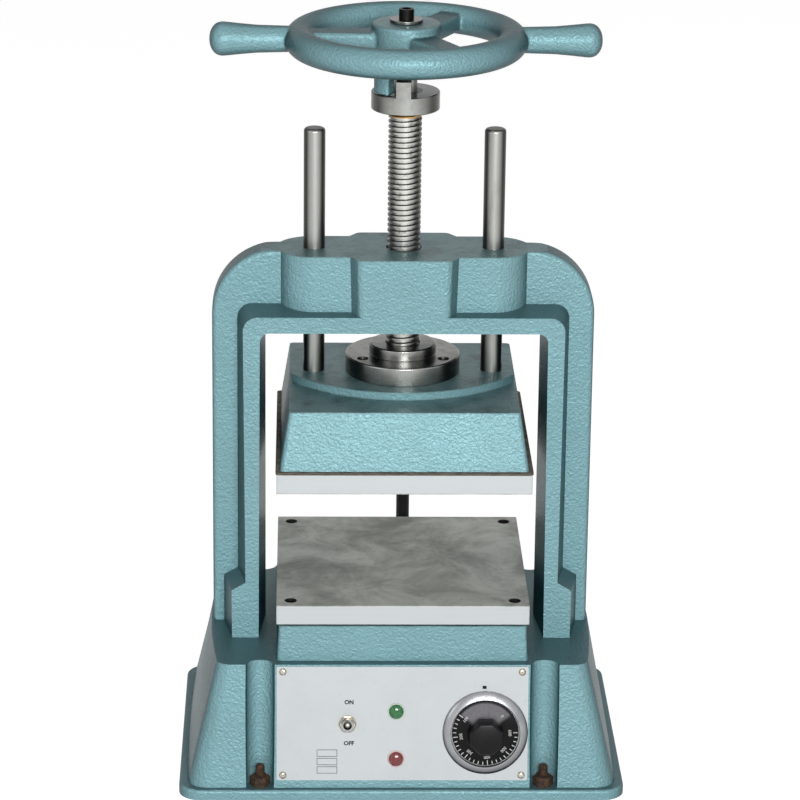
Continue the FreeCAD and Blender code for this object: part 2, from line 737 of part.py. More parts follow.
def press_frame():
    depth = outline_yz(
        [
            (-RIB_FOOT_HALF_Y, SHELF_Z),
            (RIB_FOOT_HALF_Y, SHELF_Z),
            (RIB_TOP_HALF_Y, CROSSHEAD_Z),
            (RIB_TOP_HALF_Y, FRAME_TOP),
            (-RIB_TOP_HALF_Y, FRAME_TOP),
            (-RIB_TOP_HALF_Y, CROSSHEAD_Z),
        ],
        -FRAME_HALF_X,
        FRAME_HALF_X,
    )
    front = joined(rib_half(), [foot_half(-1), foot_half(1)])
    ribs = front.fuse(mirrored(front, Y_AXIS)).removeSplitter().common(depth)
    solid = joined(ribs, [frame_plate(), boss_web(), crosshead_block()])
    nut_top = CROSSHEAD_Z + SCREW_NUT_LENGTH
    tools = [
        rod(SCREW_NUT_RADIUS + PIN_GAP, CROSSHEAD_Z - 1, nut_top),
        rod(SCREW_NUT_HOLE, nut_top - 1, FRAME_TOP + 1),
        bar(NUT_LOCK_RADIUS + THREAD_GAP, Vector(0, 0, NUT_LOCK_Z), Y_AXIS, BLOCK_HALF_Y * 2),
    ]
    for side in (-1, 1):
        x = side * ROD_X
        shell = ROD_RADIUS + RUNNING_GAP + BUSHING_WALL
        tools.append(rod(shell + PIN_GAP, CROSSHEAD_Z - 1, CROSSHEAD_Z + BUSHING_LENGTH, x))
        tools.append(rod(ROD_RADIUS + SEAT_GAP, CROSSHEAD_Z, FRAME_TOP + 1, x))
    for x, y in four_corners(FRAME_BOLT_X, FRAME_BOLT_Y):
        tools.append(rod(FRAME_BOLT_RADIUS + THREAD_GAP, SHELF_Z - 1, SHELF_Z + FRAME_BOLT_GRIP, x, y))
    return cut_all(solid, tools)


def frame_bolts():
    shapes = []
    head_top = SHELF_Z - SHELF_THICK
    for x, y in four_corners(FRAME_BOLT_X, FRAME_BOLT_Y):
        head = hexagon_prism(FRAME_BOLT_FLATS, head_top - FRAME_BOLT_HEAD_H, head_top, x, y)
        shank = rod(FRAME_BOLT_RADIUS, head_top, SHELF_Z + FRAME_BOLT_GRIP - 2, x, y)
        shapes.append(head.fuse(shank))
    return together(shapes)


def screw_nut():
    nut = ring(SCREW_NUT_RADIUS, SCREW_RADIUS + RUNNING_GAP, CROSSHEAD_Z,
               CROSSHEAD_Z + SCREW_NUT_LENGTH)
    start = Vector(0, SCREW_NUT_RADIUS - NUT_LOCK_BITE, NUT_LOCK_Z)
    return nut.cut(bar(NUT_LOCK_RADIUS + THREAD_GAP, start, Y_AXIS, SCREW_NUT_RADIUS))


def nut_lock_screw():
    start = Vector(0, SCREW_NUT_RADIUS - NUT_LOCK_BITE + SEAT_GAP, NUT_LOCK_Z)
    screw = bar(NUT_LOCK_RADIUS, start, Y_AXIS, NUT_LOCK_LENGTH)
    socket = bar(NUT_LOCK_RADIUS * 0.5, start + Vector(0, NUT_LOCK_LENGTH - 4, 0), Y_AXIS, 5)
    return screw.cut(socket)


def guide_bushings():
    shapes = []
    bore = ROD_RADIUS + RUNNING_GAP
    for side in (-1, 1):
        shapes.append(ring(bore + BUSHING_WALL, bore, CROSSHEAD_Z,
                           CROSSHEAD_Z + BUSHING_LENGTH, side * ROD_X))
    return together(shapes)


# Platens


def insulation(z0, half):
    board = slab(half, half, PLINTH_CORNER, z0, z0 + INSULATION_H)
    holes = [rod(PLATEN_CLEAR_RADIUS, z0 - 1, z0 + INSULATION_H + 1, x, y)
             for x, y in four_corners(PLATEN_SCREW_AT, PLATEN_SCREW_AT)]
    return cut_all(board, holes)


def platen(z0, face_up):
    """A heated plate with counterbored corners and heater bores from its rear edge."""
    plate = block(-PLATEN_HALF, PLATEN_HALF, -PLATEN_HALF, PLATEN_HALF, z0, z0 + PLATEN_H)
    upright = [e for e in plate.Edges if e.BoundBox.ZLength > 1]
    plate = plate.makeChamfer(PLATEN_EDGE, upright)
    tools = []
    for x, y in four_corners(PLATEN_SCREW_AT, PLATEN_SCREW_AT):
        tools.append(rod(PLATEN_CLEAR_RADIUS, z0 - 1, z0 + PLATEN_H + 1, x, y))
        if face_up:
            low = z0 + PLATEN_H - PLATEN_CBORE_DEPTH
            tools.append(rod(PLATEN_CBORE_RADIUS, low, z0 + PLATEN_H + 1, x, y))
        else:
            tools.append(rod(PLATEN_CBORE_RADIUS, z0 - 1, z0 + PLATEN_CBORE_DEPTH, x, y))
    for x in (-HEATER_X, HEATER_X):
        tools.append(heater_bar(x, z0, HEATER_RADIUS + HEATER_GAP, HEATER_LENGTH + HEATER_FROM_REAR + 1))
    if face_up:
        start = Vector(BULB_X, PLATEN_HALF + 1, z0 + PLATEN_H / 2)
        tools.append(bar(BULB_RADIUS + HEATER_GAP, start, Vector(0, -1, 0), BULB_LENGTH + 6))
    return cut_all(plate, tools)


def heater_bar(x, z0, radius, length):
    start = Vector(x, PLATEN_HALF - HEATER_FROM_REAR, z0 + PLATEN_H / 2)
    if length > HEATER_LENGTH:
        start = Vector(x, PLATEN_HALF, z0 + PLATEN_H / 2)
    return bar(radius, start, Vector(0, -1, 0), length)


def heaters(z0):
    return together([heater_bar(x, z0, HEATER_RADIUS, HEATER_LENGTH) for x in (-HEATER_X, HEATER_X)])


def thermostat_bulb():
    start = Vector(BULB_X, PLATEN_HALF - HEATER_FROM_REAR, LOWER_PLATEN_Z + PLATEN_H / 2)
    return bar(BULB_RADIUS, start, Vector(0, -1, 0), BULB_LENGTH)


def platen_screws(face_z, towards):
    """Socket-head screws from the working face; towards is -1 for down and 1 for up."""
    shapes = []
    seat = face_z + towards * PLATEN_CBORE_DEPTH
    for x, y in four_corners(PLATEN_SCREW_AT, PLATEN_SCREW_AT):
        outward = Vector(0, 0, -towards)
        spot = Vector(x, y, seat)
        head = bar(PLATEN_SCREW_HEAD_RADIUS, spot, outward, PLATEN_SCREW_HEAD_H)
        shank = bar(PLATEN_SCREW_RADIUS, spot, Vector(0, 0, towards), PLATEN_SCREW_LENGTH)
        socket = hexagon_prism(PLATEN_SCREW_RADIUS * 1.6, 0, PLATEN_SCREW_HEAD_H / 2 + 1)
        deep = spot + outward * (PLATEN_SCREW_HEAD_H / 2)
        if towards > 0:
            deep = deep + outward * (PLATEN_SCREW_HEAD_H / 2 + 1)
        socket.translate(deep)
        shapes.append(head.fuse(shank).cut(socket))
    return together(shapes)


# Upper head


def pad_wire(z):
    front = Part.Arc(Vector(-PAD_END_X, -PAD_END_Y, z), Vector(0, -PAD_MID_Y, z),
                     Vector(PAD_END_X, -PAD_END_Y, z)).toShape()
    right = Part.LineSegment(Vector(PAD_END_X, -PAD_END_Y, z), Vector(PAD_END_X, PAD_END_Y, z)).toShape()
    back = Part.Arc(Vector(PAD_END_X, PAD_END_Y, z), Vector(0, PAD_MID_Y, z),
                    Vector(-PAD_END_X, PAD_END_Y, z)).toShape()
    left = Part.LineSegment(Vector(-PAD_END_X, PAD_END_Y, z), Vector(-PAD_END_X, -PAD_END_Y, z)).toShape()
    return Part.Wire([front, right, back, left])


def head_half_x(z):
    return HEAD_LOW_HALF_X + (HEAD_TOP_HALF_X - HEAD_LOW_HALF_X) * (z - HEAD_Z) / HEAD_H


def head_half_y(z):
    return HEAD_LOW_HALF_Y + (HEAD_TOP_HALF_Y - HEAD_LOW_HALF_Y) * (z - HEAD_Z) / HEAD_H


def head_shell(inset, z0, z1):
    wires = [plan_wire(head_half_x(z) - inset, head_half_y(z) - inset, HEAD_CORNER, z)
             for z in (z0, z1)]
    return taper(wires[0], wires[1])


def upper_head():
    solid = head_shell(0.0, HEAD_Z, HEAD_TOP)
    pad = Part.Face(pad_wire(HEAD_TOP - 1)).extrude(Vector(0, 0, PAD_H + 1))
    solid = solid.fuse(pad).removeSplitter()
    cavity = head_shell(HEAD_WALL, HEAD_Z, HEAD_TOP - HEAD_ROOF)
    cores = [rod(HEAD_CORE_RADIUS, HEAD_Z, HEAD_TOP)]
    for side in (-1, 1):
        cores.append(rod(HEAD_ROD_CORE, HEAD_Z, HEAD_TOP, side * ROD_X))
    cores.append(block(-HEAD_WALL / 2, HEAD_WALL / 2, -HEAD_LOW_HALF_Y, HEAD_RIB_REAR,
                       HEAD_Z + HEAD_RIB_LIFT, HEAD_TOP))
    for x, y in four_corners(PLATEN_SCREW_AT, PLATEN_SCREW_AT):
        inward_x = x - math.copysign(PLATEN_SCREW_RADIUS, x)
        inward_y = y - math.copysign(PLATEN_SCREW_RADIUS, y)
        cores.append(rod(HEAD_CORNER_CORE, HEAD_Z, HEAD_TOP, inward_x, inward_y))
    cavity = cut_all(cavity, cores)
    solid = solid.cut(cavity)
    tools = [rod(THRUST_WASHER_RADIUS + THRUST_POCKET_CLEAR, POCKET_Z, PAD_TOP + 1)]
    for side in (-1, 1):
        tools.append(rod(ROD_RADIUS + PIN_GAP, ROD_Z - SEAT_GAP, PAD_TOP + 1, side * ROD_X))
    for x, y in flange_screw_spots():
        deep = PAD_TOP - FLANGE_SCREW_DEEP - 2
        tools.append(rod(FLANGE_SCREW_RADIUS + THREAD_GAP, deep, PAD_TOP + 1, x, y))
    for x, y in four_corners(PLATEN_SCREW_AT, PLATEN_SCREW_AT):
        high = UPPER_FACE_Z + PLATEN_CBORE_DEPTH + PLATEN_SCREW_LENGTH + 1
        tools.append(rod(PLATEN_SCREW_RADIUS + THREAD_GAP, HEAD_Z - 1, high, x, y))
    gland_z = HEAD_Z + LEAD_HEAD_UP
    tools.append(bar(GLAND_THREAD_RADIUS + THREAD_GAP, Vector(LEAD_X, HEAD_LOW_HALF_Y + 5, gland_z),
                     Vector(0, -1, 0), HEAD_WALL * 3 + 5))
    spot_y = head_half_y(gland_z) - HEAD_WALL * 0.3
    tools.append(bar(GLAND_NUT_FLATS * 0.62, Vector(LEAD_X, spot_y, gland_z), Y_AXIS, HEAD_WALL * 3))
    return cut_all(solid, tools)


def flange_screw_spots():
    spots = []
    for i in range(FLANGE_SCREW_COUNT):
        turn = math.radians(FLANGE_SCREW_START + i * FULL_TURN / FLANGE_SCREW_COUNT)
        spots.append((FLANGE_SCREW_CIRCLE * math.cos(turn), FLANGE_SCREW_CIRCLE * math.sin(turn)))
    return spots


def bearing_flange():
    profile = [
        (SCREW_RADIUS + FLANGE_BORE_CLEAR, PAD_TOP),
        (FLANGE_RADIUS, PAD_TOP),
        (FLANGE_RADIUS, FLANGE_TOP - FLANGE_EDGE),
        (FLANGE_RADIUS - FLANGE_EDGE, FLANGE_TOP),
        (FLANGE_BOSS_RADIUS, FLANGE_TOP),
        (FLANGE_BOSS_RADIUS, FLANGE_BOSS_TOP - FLANGE_EDGE),
        (FLANGE_BOSS_RADIUS - FLANGE_EDGE, FLANGE_BOSS_TOP),
        (SCREW_RADIUS + FLANGE_BORE_CLEAR, FLANGE_BOSS_TOP),
    ]
    tools = []
    for x, y in flange_screw_spots():
        tools.append(rod(FLANGE_SCREW_RADIUS + SEAT_GAP, PAD_TOP - 1, FLANGE_TOP, x, y))
        tools.append(rod(FLANGE_CBORE_RADIUS, FLANGE_TOP - FLANGE_CBORE_DEPTH, FLANGE_TOP + 1, x, y))
    return cut_all(turned(profile), tools)


def flange_screws():
    shapes = []
    seat = FLANGE_TOP - FLANGE_CBORE_DEPTH
    for x, y in flange_screw_spots():
        head = rod(FLANGE_SCREW_HEAD, seat, seat + FLANGE_SCREW_HEAD_H, x, y)
        socket = hexagon_prism(FLANGE_SCREW_RADIUS * 1.6, seat + FLANGE_SCREW_HEAD_H / 2,
                               seat + FLANGE_SCREW_HEAD_H + 1, x, y)
        shank = rod(FLANGE_SCREW_RADIUS, PAD_TOP - FLANGE_SCREW_DEEP, seat, x, y)
        shapes.append(head.fuse(shank).cut(socket))
    return together(shapes)


def thrust_washers():
    inner = SCREW_RADIUS + FLANGE_BORE_CLEAR
    lower = ring(THRUST_WASHER_RADIUS, inner, POCKET_Z, POCKET_Z + THRUST_WASHER_H)
    upper = ring(THRUST_WASHER_RADIUS, inner, PAD_TOP - THRUST_WASHER_H, PAD_TOP)
    return together([lower, upper])


def guide_rods():
    shapes = []
    for side in (-1, 1):
        shank = rod(ROD_RADIUS, ROD_Z, ROD_TOP, side * ROD_X)
        top = [e for e in shank.Edges if e.BoundBox.ZMin > ROD_TOP - 0.1]
        shapes.append(shank.makeFillet(ROD_DOME, top))
    return together(shapes)


# Lead screw group


def lead_screw():
    spigot_top = HUB_WASHER_Z
    profile = [
        (0, SHOULDER_Z),
        (SCREW_SHOULDER_RADIUS, SHOULDER_Z),
        (SCREW_SHOULDER_RADIUS, SHOULDER_TOP),
        (SCREW_RADIUS, SHOULDER_TOP),
        (SCREW_RADIUS, COLLAR_TOP),
        (SCREW_SPIGOT_RADIUS, COLLAR_TOP),
        (SCREW_SPIGOT_RADIUS, spigot_top),
        (0, spigot_top),
    ]
    tapped = rod(CAP_SCREW_RADIUS + THREAD_GAP, spigot_top - CAP_SCREW_LENGTH - 1, spigot_top + 1)
    pin = collar_pin_bar(COLLAR_PIN_RADIUS + PIN_GAP, COLLAR_RADIUS * 2)
    return turned(profile).cut(tapped).cut(pin)


def collar_pin_bar(radius, length):
    z = COLLAR_Z + COLLAR_PIN_LIFT
    return bar(radius, Vector(-length / 2, 0, z), X_AXIS, length)


def stop_collar():
    profile = [
        (SCREW_RADIUS + PIN_GAP, COLLAR_Z),
        (COLLAR_RADIUS - COLLAR_EDGE, COLLAR_Z),
        (COLLAR_RADIUS, COLLAR_Z + COLLAR_EDGE),
        (COLLAR_RADIUS, COLLAR_TOP - COLLAR_EDGE),
        (COLLAR_RADIUS - COLLAR_EDGE, COLLAR_TOP),
        (SCREW_RADIUS + PIN_GAP, COLLAR_TOP),
    ]
    dog = block(-DOG_HALF_WIDTH, DOG_HALF_WIDTH, -COLLAR_RADIUS * 2, -DOG_INNER,
                COLLAR_TOP - 2, DOG_TOP)
    dog = dog.common(rod(COLLAR_RADIUS, COLLAR_TOP - 2, DOG_TOP))
    dog.rotate(Vector(0, 0, 0), Z_AXIS, DOG_TURN)
    collar = turned(profile).fuse(dog).removeSplitter()
    return collar.cut(collar_pin_bar(COLLAR_PIN_RADIUS + PIN_GAP, COLLAR_RADIUS * 3))


def collar_pin():
    return collar_pin_bar(COLLAR_PIN_RADIUS, 2 * (COLLAR_RADIUS - COLLAR_PIN_RECESS))


def hub_washer():
    return ring(HUB_WASHER_RADIUS, CAP_SCREW_RADIUS + SEAT_GAP, HUB_WASHER_Z,
                HUB_WASHER_Z + HUB_WASHER_H)


def wheel_cap_screw():
    head = rod(CAP_SCREW_HEAD, CAP_HEAD_Z, CAP_HEAD_Z + CAP_SCREW_HEAD_H)
    top = [e for e in head.Edges if e.BoundBox.ZMin > CAP_HEAD_Z + CAP_SCREW_HEAD_H - 0.1]
    head = head.makeChamfer(0.6, top)
    shank = rod(CAP_SCREW_RADIUS, HUB_WASHER_Z - CAP_SCREW_LENGTH + HUB_WASHER_H, CAP_HEAD_Z)
    socket = hexagon_prism(CAP_SOCKET_FLATS, CAP_HEAD_Z + CAP_SCREW_HEAD_H - CAP_SOCKET_DEPTH,
                           CAP_HEAD_Z + CAP_SCREW_HEAD_H + 1)
    return head.fuse(shank).cut(socket)


# Hand wheel


def sector(inner, outer, start, end, z0, z1):
    """Ring sector between two angles in degrees, as a turned profile."""
    corners = [Vector(r, 0, z) for r, z in ((inner, z0), (outer, z0), (outer, z1), (inner, z1))]
    face = Part.Face(Part.makePolygon(corners + corners[:1]))
    solid = face.revolve(Vector(0, 0, 0), Z_AXIS, end - start)
    solid.rotate(Vector(0, 0, 0), Z_AXIS, start)
    return solid


def spoke(turn):
    """A flat-topped spoke whose width tapers from the hub to the ring."""
    wires = []
    for x, half in ((HUB_RADIUS * 0.6, SPOKE_HUB_HALF), (RING_RADIUS, SPOKE_RING_HALF)):
        low = WHEEL_Z - SPOKE_BOTTOM
        high = WHEEL_Z + SPOKE_TOP
        points = [Vector(x, -half, low), Vector(x, half, low), Vector(x, half, high),
                  Vector(x, -half, high)]
        wires.append(Part.makePolygon(points + points[:1]))
    solid = taper(wires[0], wires[1])
    along = [e for e in solid.Edges if e.BoundBox.XLength > 1]
    solid = solid.makeFillet(SPOKE_EDGE, along)
    solid.rotate(Vector(0, 0, 0), Z_AXIS, turn)
    return solid


def handle(side):
    """Tapered grip that swells to a domed end."""
    end = HANDLE_TIP
    corners = [
        Vector(0, 0, RING_RADIUS),
        Vector(HANDLE_ROOT_RADIUS, 0, RING_RADIUS),
        Vector(HANDLE_TIP_RADIUS, 0, end - HANDLE_DOME),
    ]
    edges = [Part.LineSegment(corners[0], corners[1]).toShape(),
             Part.LineSegment(corners[1], corners[2]).toShape()]
    edges.append(dome_arc(HANDLE_TIP_RADIUS, end - HANDLE_DOME, end))
    edges.append(Part.LineSegment(Vector(0, 0, end), corners[0]).toShape())
    solid = Part.Face(Part.Wire(edges)).revolve(Vector(0, 0, 0), Z_AXIS, FULL_TURN)
    solid.rotate(Vector(0, 0, 0), Y_AXIS, 90 * side)
    solid.translate(Vector(0, 0, WHEEL_Z))
    return solid


def hand_wheel():
    rim = Part.makeTorus(RING_RADIUS, RING_TUBE)
    rim.translate(Vector(0, 0, WHEEL_Z))
    hub = turned([
        (0, HUB_Z),
        (HUB_RADIUS, HUB_Z),
        (HUB_RADIUS, HUB_TOP - HUB_EDGE),
        (HUB_RADIUS - HUB_EDGE, HUB_TOP),
        (0, HUB_TOP),
    ])
    lug = sector(LUG_INNER, HUB_RADIUS, LUG_FROM, LUG_TO, COLLAR_TOP + LUG_CLEAR, HUB_Z + 1)
    spokes = [spoke(SPOKE_START + i * FULL_TURN / SPOKE_COUNT) for i in range(SPOKE_COUNT)]
    solid = joined(hub, spokes + [lug, rim, handle(-1), handle(1)])
    return solid.cut(rod(SCREW_SPIGOT_RADIUS + HUB_BORE_GAP, COLLAR_TOP, HUB_TOP + 1))


# Control panel and what it carries


def control_panel():
    sheet = slab(PANEL_HALF_X, PANEL_HALF_V, PANEL_CORNER, -PANEL_THICK, 0)
    holes = [
        rod(SWITCH_BUSH_RADIUS + SEAT_GAP, -PANEL_THICK - 1, 1, SWITCH_U, SWITCH_V),
        rod(THERMOSTAT_NECK_RADIUS + SEAT_GAP, -PANEL_THICK - 1, 1, DIAL_U, DIAL_V),
    ]
    for v in (POWER_LAMP_V, HEAT_LAMP_V):
        holes.append(rod(LAMP_BODY_RADIUS + SEAT_GAP, -PANEL_THICK - 1, 1, LAMP_U, v))
    for u in (-PANEL_SCREW_U, PANEL_SCREW_U):
        for v in (-PANEL_SCREW_V, PANEL_SCREW_V):
            holes.append(rod(PANEL_SCREW_RADIUS + SEAT_GAP, -PANEL_THICK - 1, 1, u, v))
    return on_panel(cut_all(sheet, holes), 0, 0)


def panel_screws():
    shapes = []
    for u in (-PANEL_SCREW_U, PANEL_SCREW_U):
        for v in (-PANEL_SCREW_V, PANEL_SCREW_V):
            head = rod(PANEL_SCREW_HEAD, 0, PANEL_SCREW_HEAD_H)
            top = [e for e in head.Edges if e.BoundBox.ZMin > PANEL_SCREW_HEAD_H - 0.1]
            head = head.makeFillet(PANEL_SCREW_HEAD_H * 0.7, top)
            shank = rod(PANEL_SCREW_RADIUS, -PANEL_SCREW_LENGTH, 0)
            shapes.append(on_panel(head.fuse(shank), u, v))
    return together(shapes)


def switch_body():
    half_x = SWITCH_BODY_X / 2
    half_v = SWITCH_BODY_V / 2
    inside = -PANEL_THICK
    body = block(-half_x, half_x, -half_v, half_v, inside - SWITCH_BODY_DEEP, inside)
    bush = rod(SWITCH_BUSH_RADIUS, inside, SWITCH_BUSH_OUT)
    mouth = Part.makeCone(SWITCH_BUSH_BORE * 0.6, SWITCH_BUSH_BORE, SWITCH_BUSH_OUT + 6,
                          Vector(0, 0, -5), Z_AXIS)
    ball_room = Part.makeSphere(LEVER_BALL_RADIUS + SEAT_GAP, Vector(0, 0, LEVER_PIVOT))
    pin_half = LEVER_PIN_HALF + SEAT_GAP
    pin_room = bar(LEVER_PIN_RADIUS + SEAT_GAP, Vector(-pin_half, 0, LEVER_PIVOT), X_AXIS, 2 * pin_half)
    solid = body.fuse(bush).cut(mouth).cut(ball_room).cut(pin_room)
    return on_panel(solid, SWITCH_U, SWITCH_V)


def switch_nut():
    washer = ring(SWITCH_RING_RADIUS, SWITCH_BUSH_RADIUS + THREAD_GAP, 0, SWITCH_RING_H)
    nut = hexagon_prism(SWITCH_NUT_FLATS, SWITCH_RING_H, SWITCH_RING_H + SWITCH_NUT_H)
    nut = nut.cut(rod(SWITCH_BUSH_RADIUS + THREAD_GAP, 0, SWITCH_BUSH_OUT))
    return on_panel(together([washer, nut]), SWITCH_U, SWITCH_V)


def toggle_lever():
    """Bat-shaped lever on its ball and cross pin, tipped up to its ON side."""
    tip = LEVER_LENGTH - LEVER_TIP_RADIUS
    stem = Part.makeCone(LEVER_ROOT_RADIUS, LEVER_TIP_RADIUS, tip)
    solid = stem.fuse(Part.makeSphere(LEVER_TIP_RADIUS, Vector(0, 0, tip)))
    pin = bar(LEVER_PIN_RADIUS, Vector(-LEVER_PIN_HALF, 0, 0), X_AXIS, 2 * LEVER_PIN_HALF)
    solid = joined(solid, [Part.makeSphere(LEVER_BALL_RADIUS), pin])
    solid.rotate(Vector(0, 0, 0), X_AXIS, -LEVER_TILT)
    return on_panel(solid, SWITCH_U, SWITCH_V, LEVER_PIVOT)


def lamp_body(v):
    rim = ring(LAMP_RIM_RADIUS, LAMP_LENS_RADIUS + SEAT_GAP, 0, LAMP_RIM_H)
    barrel = rod(LAMP_BODY_RADIUS, -PANEL_THICK - LAMP_BODY_DEEP, 0)
    seat = ring(LAMP_RIM_RADIUS, LAMP_BODY_RADIUS - 1, 0, LAMP_RIM_H / 2)
    return on_panel(joined(barrel, [rim, seat]), LAMP_U, v)


def lamp_lens(v):
    low = LAMP_RIM_H / 2
    radius = LAMP_LENS_RADIUS
    edges = [
        Part.LineSegment(Vector(0, 0, low), Vector(radius, 0, low)).toShape(),
        Part.LineSegment(Vector(radius, 0, low), Vector(radius, 0, LAMP_RIM_H)).toShape(),
        dome_arc(radius, LAMP_RIM_H, LAMP_LENS_OUT),
        Part.LineSegment(Vector(0, 0, LAMP_LENS_OUT), Vector(0, 0, low)).toShape(),
    ]
    dome = Part.Face(Part.Wire(edges)).revolve(Vector(0, 0, 0), Z_AXIS, FULL_TURN)
    return on_panel(dome, LAMP_U, v)


def thermostat_body():
    case = rod(THERMOSTAT_RADIUS, -PANEL_THICK - THERMOSTAT_DEEP, -PANEL_THICK)
    neck = rod(THERMOSTAT_NECK_RADIUS, -PANEL_THICK, KNOB_LIFT - SEAT_GAP)
    bore = rod(SHAFT_RADIUS + RUNNING_GAP, -PANEL_THICK - SHAFT_SINK - SEAT_GAP, BEZEL_H)
    return on_panel(case.fuse(neck).cut(bore), DIAL_U, DIAL_V)


def thermostat_shaft():
    return on_panel(rod(SHAFT_RADIUS, -PANEL_THICK - SHAFT_SINK, SHAFT_OUT), DIAL_U, DIAL_V)


def dial_bezel():
    profile = [
        (BEZEL_INNER, 0),
        (BEZEL_RADIUS, 0),
        (BEZEL_RADIUS, BEZEL_LIP),
        (BEZEL_RADIUS - BEZEL_LIP, BEZEL_H),
        (BEZEL_RADIUS - 2 * BEZEL_LIP, BEZEL_H),
        (BEZEL_INNER, BEZEL_LIP),
    ]
    return on_panel(turned(profile), DIAL_U, DIAL_V)


def thermostat_knob():
    skirt_top = KNOB_LIFT + KNOB_SKIRT_H
    shoulder = skirt_top + KNOB_SHOULDER_H
    profile = [
        (0, KNOB_LIFT),
        (KNOB_SKIRT_RADIUS, KNOB_LIFT),
        (KNOB_SKIRT_RADIUS, KNOB_LIFT + KNOB_SKIRT_H / 2),
        (KNOB_SHOULDER_RADIUS, skirt_top),
        (KNOB_GRIP_FLATS / 2, shoulder),
        (0, shoulder),
    ]
    grip = hexagon_prism(KNOB_GRIP_FLATS, skirt_top, KNOB_TOP, 0, 0, KNOB_GRIP_SIDES)
    top = [e for e in grip.Edges if e.BoundBox.ZMin > KNOB_TOP - 0.1]
    grip = grip.makeChamfer(KNOB_GRIP_EDGE, top)
    solid = joined(turned(profile), [grip])
    bore = rod(SHAFT_RADIUS + PIN_GAP, 0, SHAFT_OUT + SEAT_GAP)
    return on_panel(solid.cut(bore), DIAL_U, DIAL_V)


# Terminals, glands and lead


def terminal_block():
    top = PLINTH_Z - PLINTH_ROOF
    low = top - TERMINAL_LEG_RADIUS - TERMINAL_H
    body = block(-TERMINAL_HALF_X, TERMINAL_HALF_X, TERMINAL_Y - TERMINAL_HALF_Y,
                 TERMINAL_Y + TERMINAL_HALF_Y, low, low + TERMINAL_H)
    pitch = 2 * TERMINAL_HALF_X / TERMINAL_SLOTS
    for i in range(TERMINAL_SLOTS):
        x = -TERMINAL_HALF_X + pitch * (i + 0.5)
        body = body.cut(rod(TERMINAL_SLOT_HALF, low - 1, low + TERMINAL_SLOT_DEEP, x, TERMINAL_Y))
    for side in (-1, 1):
        x = side * (TERMINAL_HALF_X - TERMINAL_LEG_RADIUS)
        body = body.fuse(rod(TERMINAL_LEG_RADIUS, low + TERMINAL_H - 1, top, x, TERMINAL_Y))
    return body.removeSplitter()


def gland(x, z, face_y, wall, bore):
    """Cable gland through a wall whose outer face is at face_y, with its locknut inside."""
    outer = hexagon_prism(GLAND_NUT_FLATS, 0, GLAND_NUT_H)
    dome = Part.makeCone(GLAND_DOME_RADIUS, GLAND_DOME_RADIUS * 0.8, GLAND_DOME_H,
                         Vector(0, 0, GLAND_NUT_H), Z_AXIS)
    thread = rod(GLAND_THREAD_RADIUS, -wall - GLAND_LOCKNUT_H - 1, 0)
    locknut = hexagon_prism(GLAND_NUT_FLATS, -wall - GLAND_LOCKNUT_H, -wall)
    solid = joined(outer, [dome, thread, locknut])
    solid = solid.cut(rod(bore, -wall * 3, GLAND_NUT_H + GLAND_DOME_H + 1))
    solid.Placement = Placement(Vector(x, face_y, z), Rotation(X_AXIS, -90))
    return solid


def lead_base_face():
    return half_depth_at(LEAD_BASE_Z) - BASE_WALL * 0.35


def lead_head_face():
    return head_half_y(HEAD_Z + LEAD_HEAD_UP) - HEAD_WALL * 0.3


def heater_lead():
    """Flexible lead that hangs behind the press, from the head to the base."""
    top = HEAD_Z + LEAD_HEAD_UP
    low = LEAD_BASE_Z
    start_y = lead_head_face() + GLAND_NUT_H + GLAND_DOME_H + LEAD_END_GAP
    end_y = lead_base_face() + GLAND_NUT_H + GLAND_DOME_H + LEAD_END_GAP
    return lead_tube(start_y, end_y, top, low)


def lead_tube(start_y, end_y, top, low):
    bend_top = LEAD_BACK_Y - start_y
    bend_low = LEAD_BACK_Y - end_y
    edges = []
    parts = []
    root = math.sqrt(0.5)
    for end, bend, z, sign in ((start_y, bend_top, top, -1), (end_y, bend_low, low, 1)):
        centre = Vector(LEAD_X, end, z + sign * bend)
        middle = centre + Vector(0, bend * root, -sign * bend * root)
        first = Vector(LEAD_X, end, z)
        last = Vector(LEAD_X, LEAD_BACK_Y, z + sign * bend)
        edges.append(Part.Arc(first, middle, last).toShape())
        parts.append(last)
    edges.insert(1, Part.LineSegment(parts[0], parts[1]).toShape())
    path = Part.Wire(edges)
    section = Part.Wire(Part.makeCircle(LEAD_RADIUS, Vector(LEAD_X, start_y, top), Y_AXIS))
    return path.makePipeShell([section], True, False)


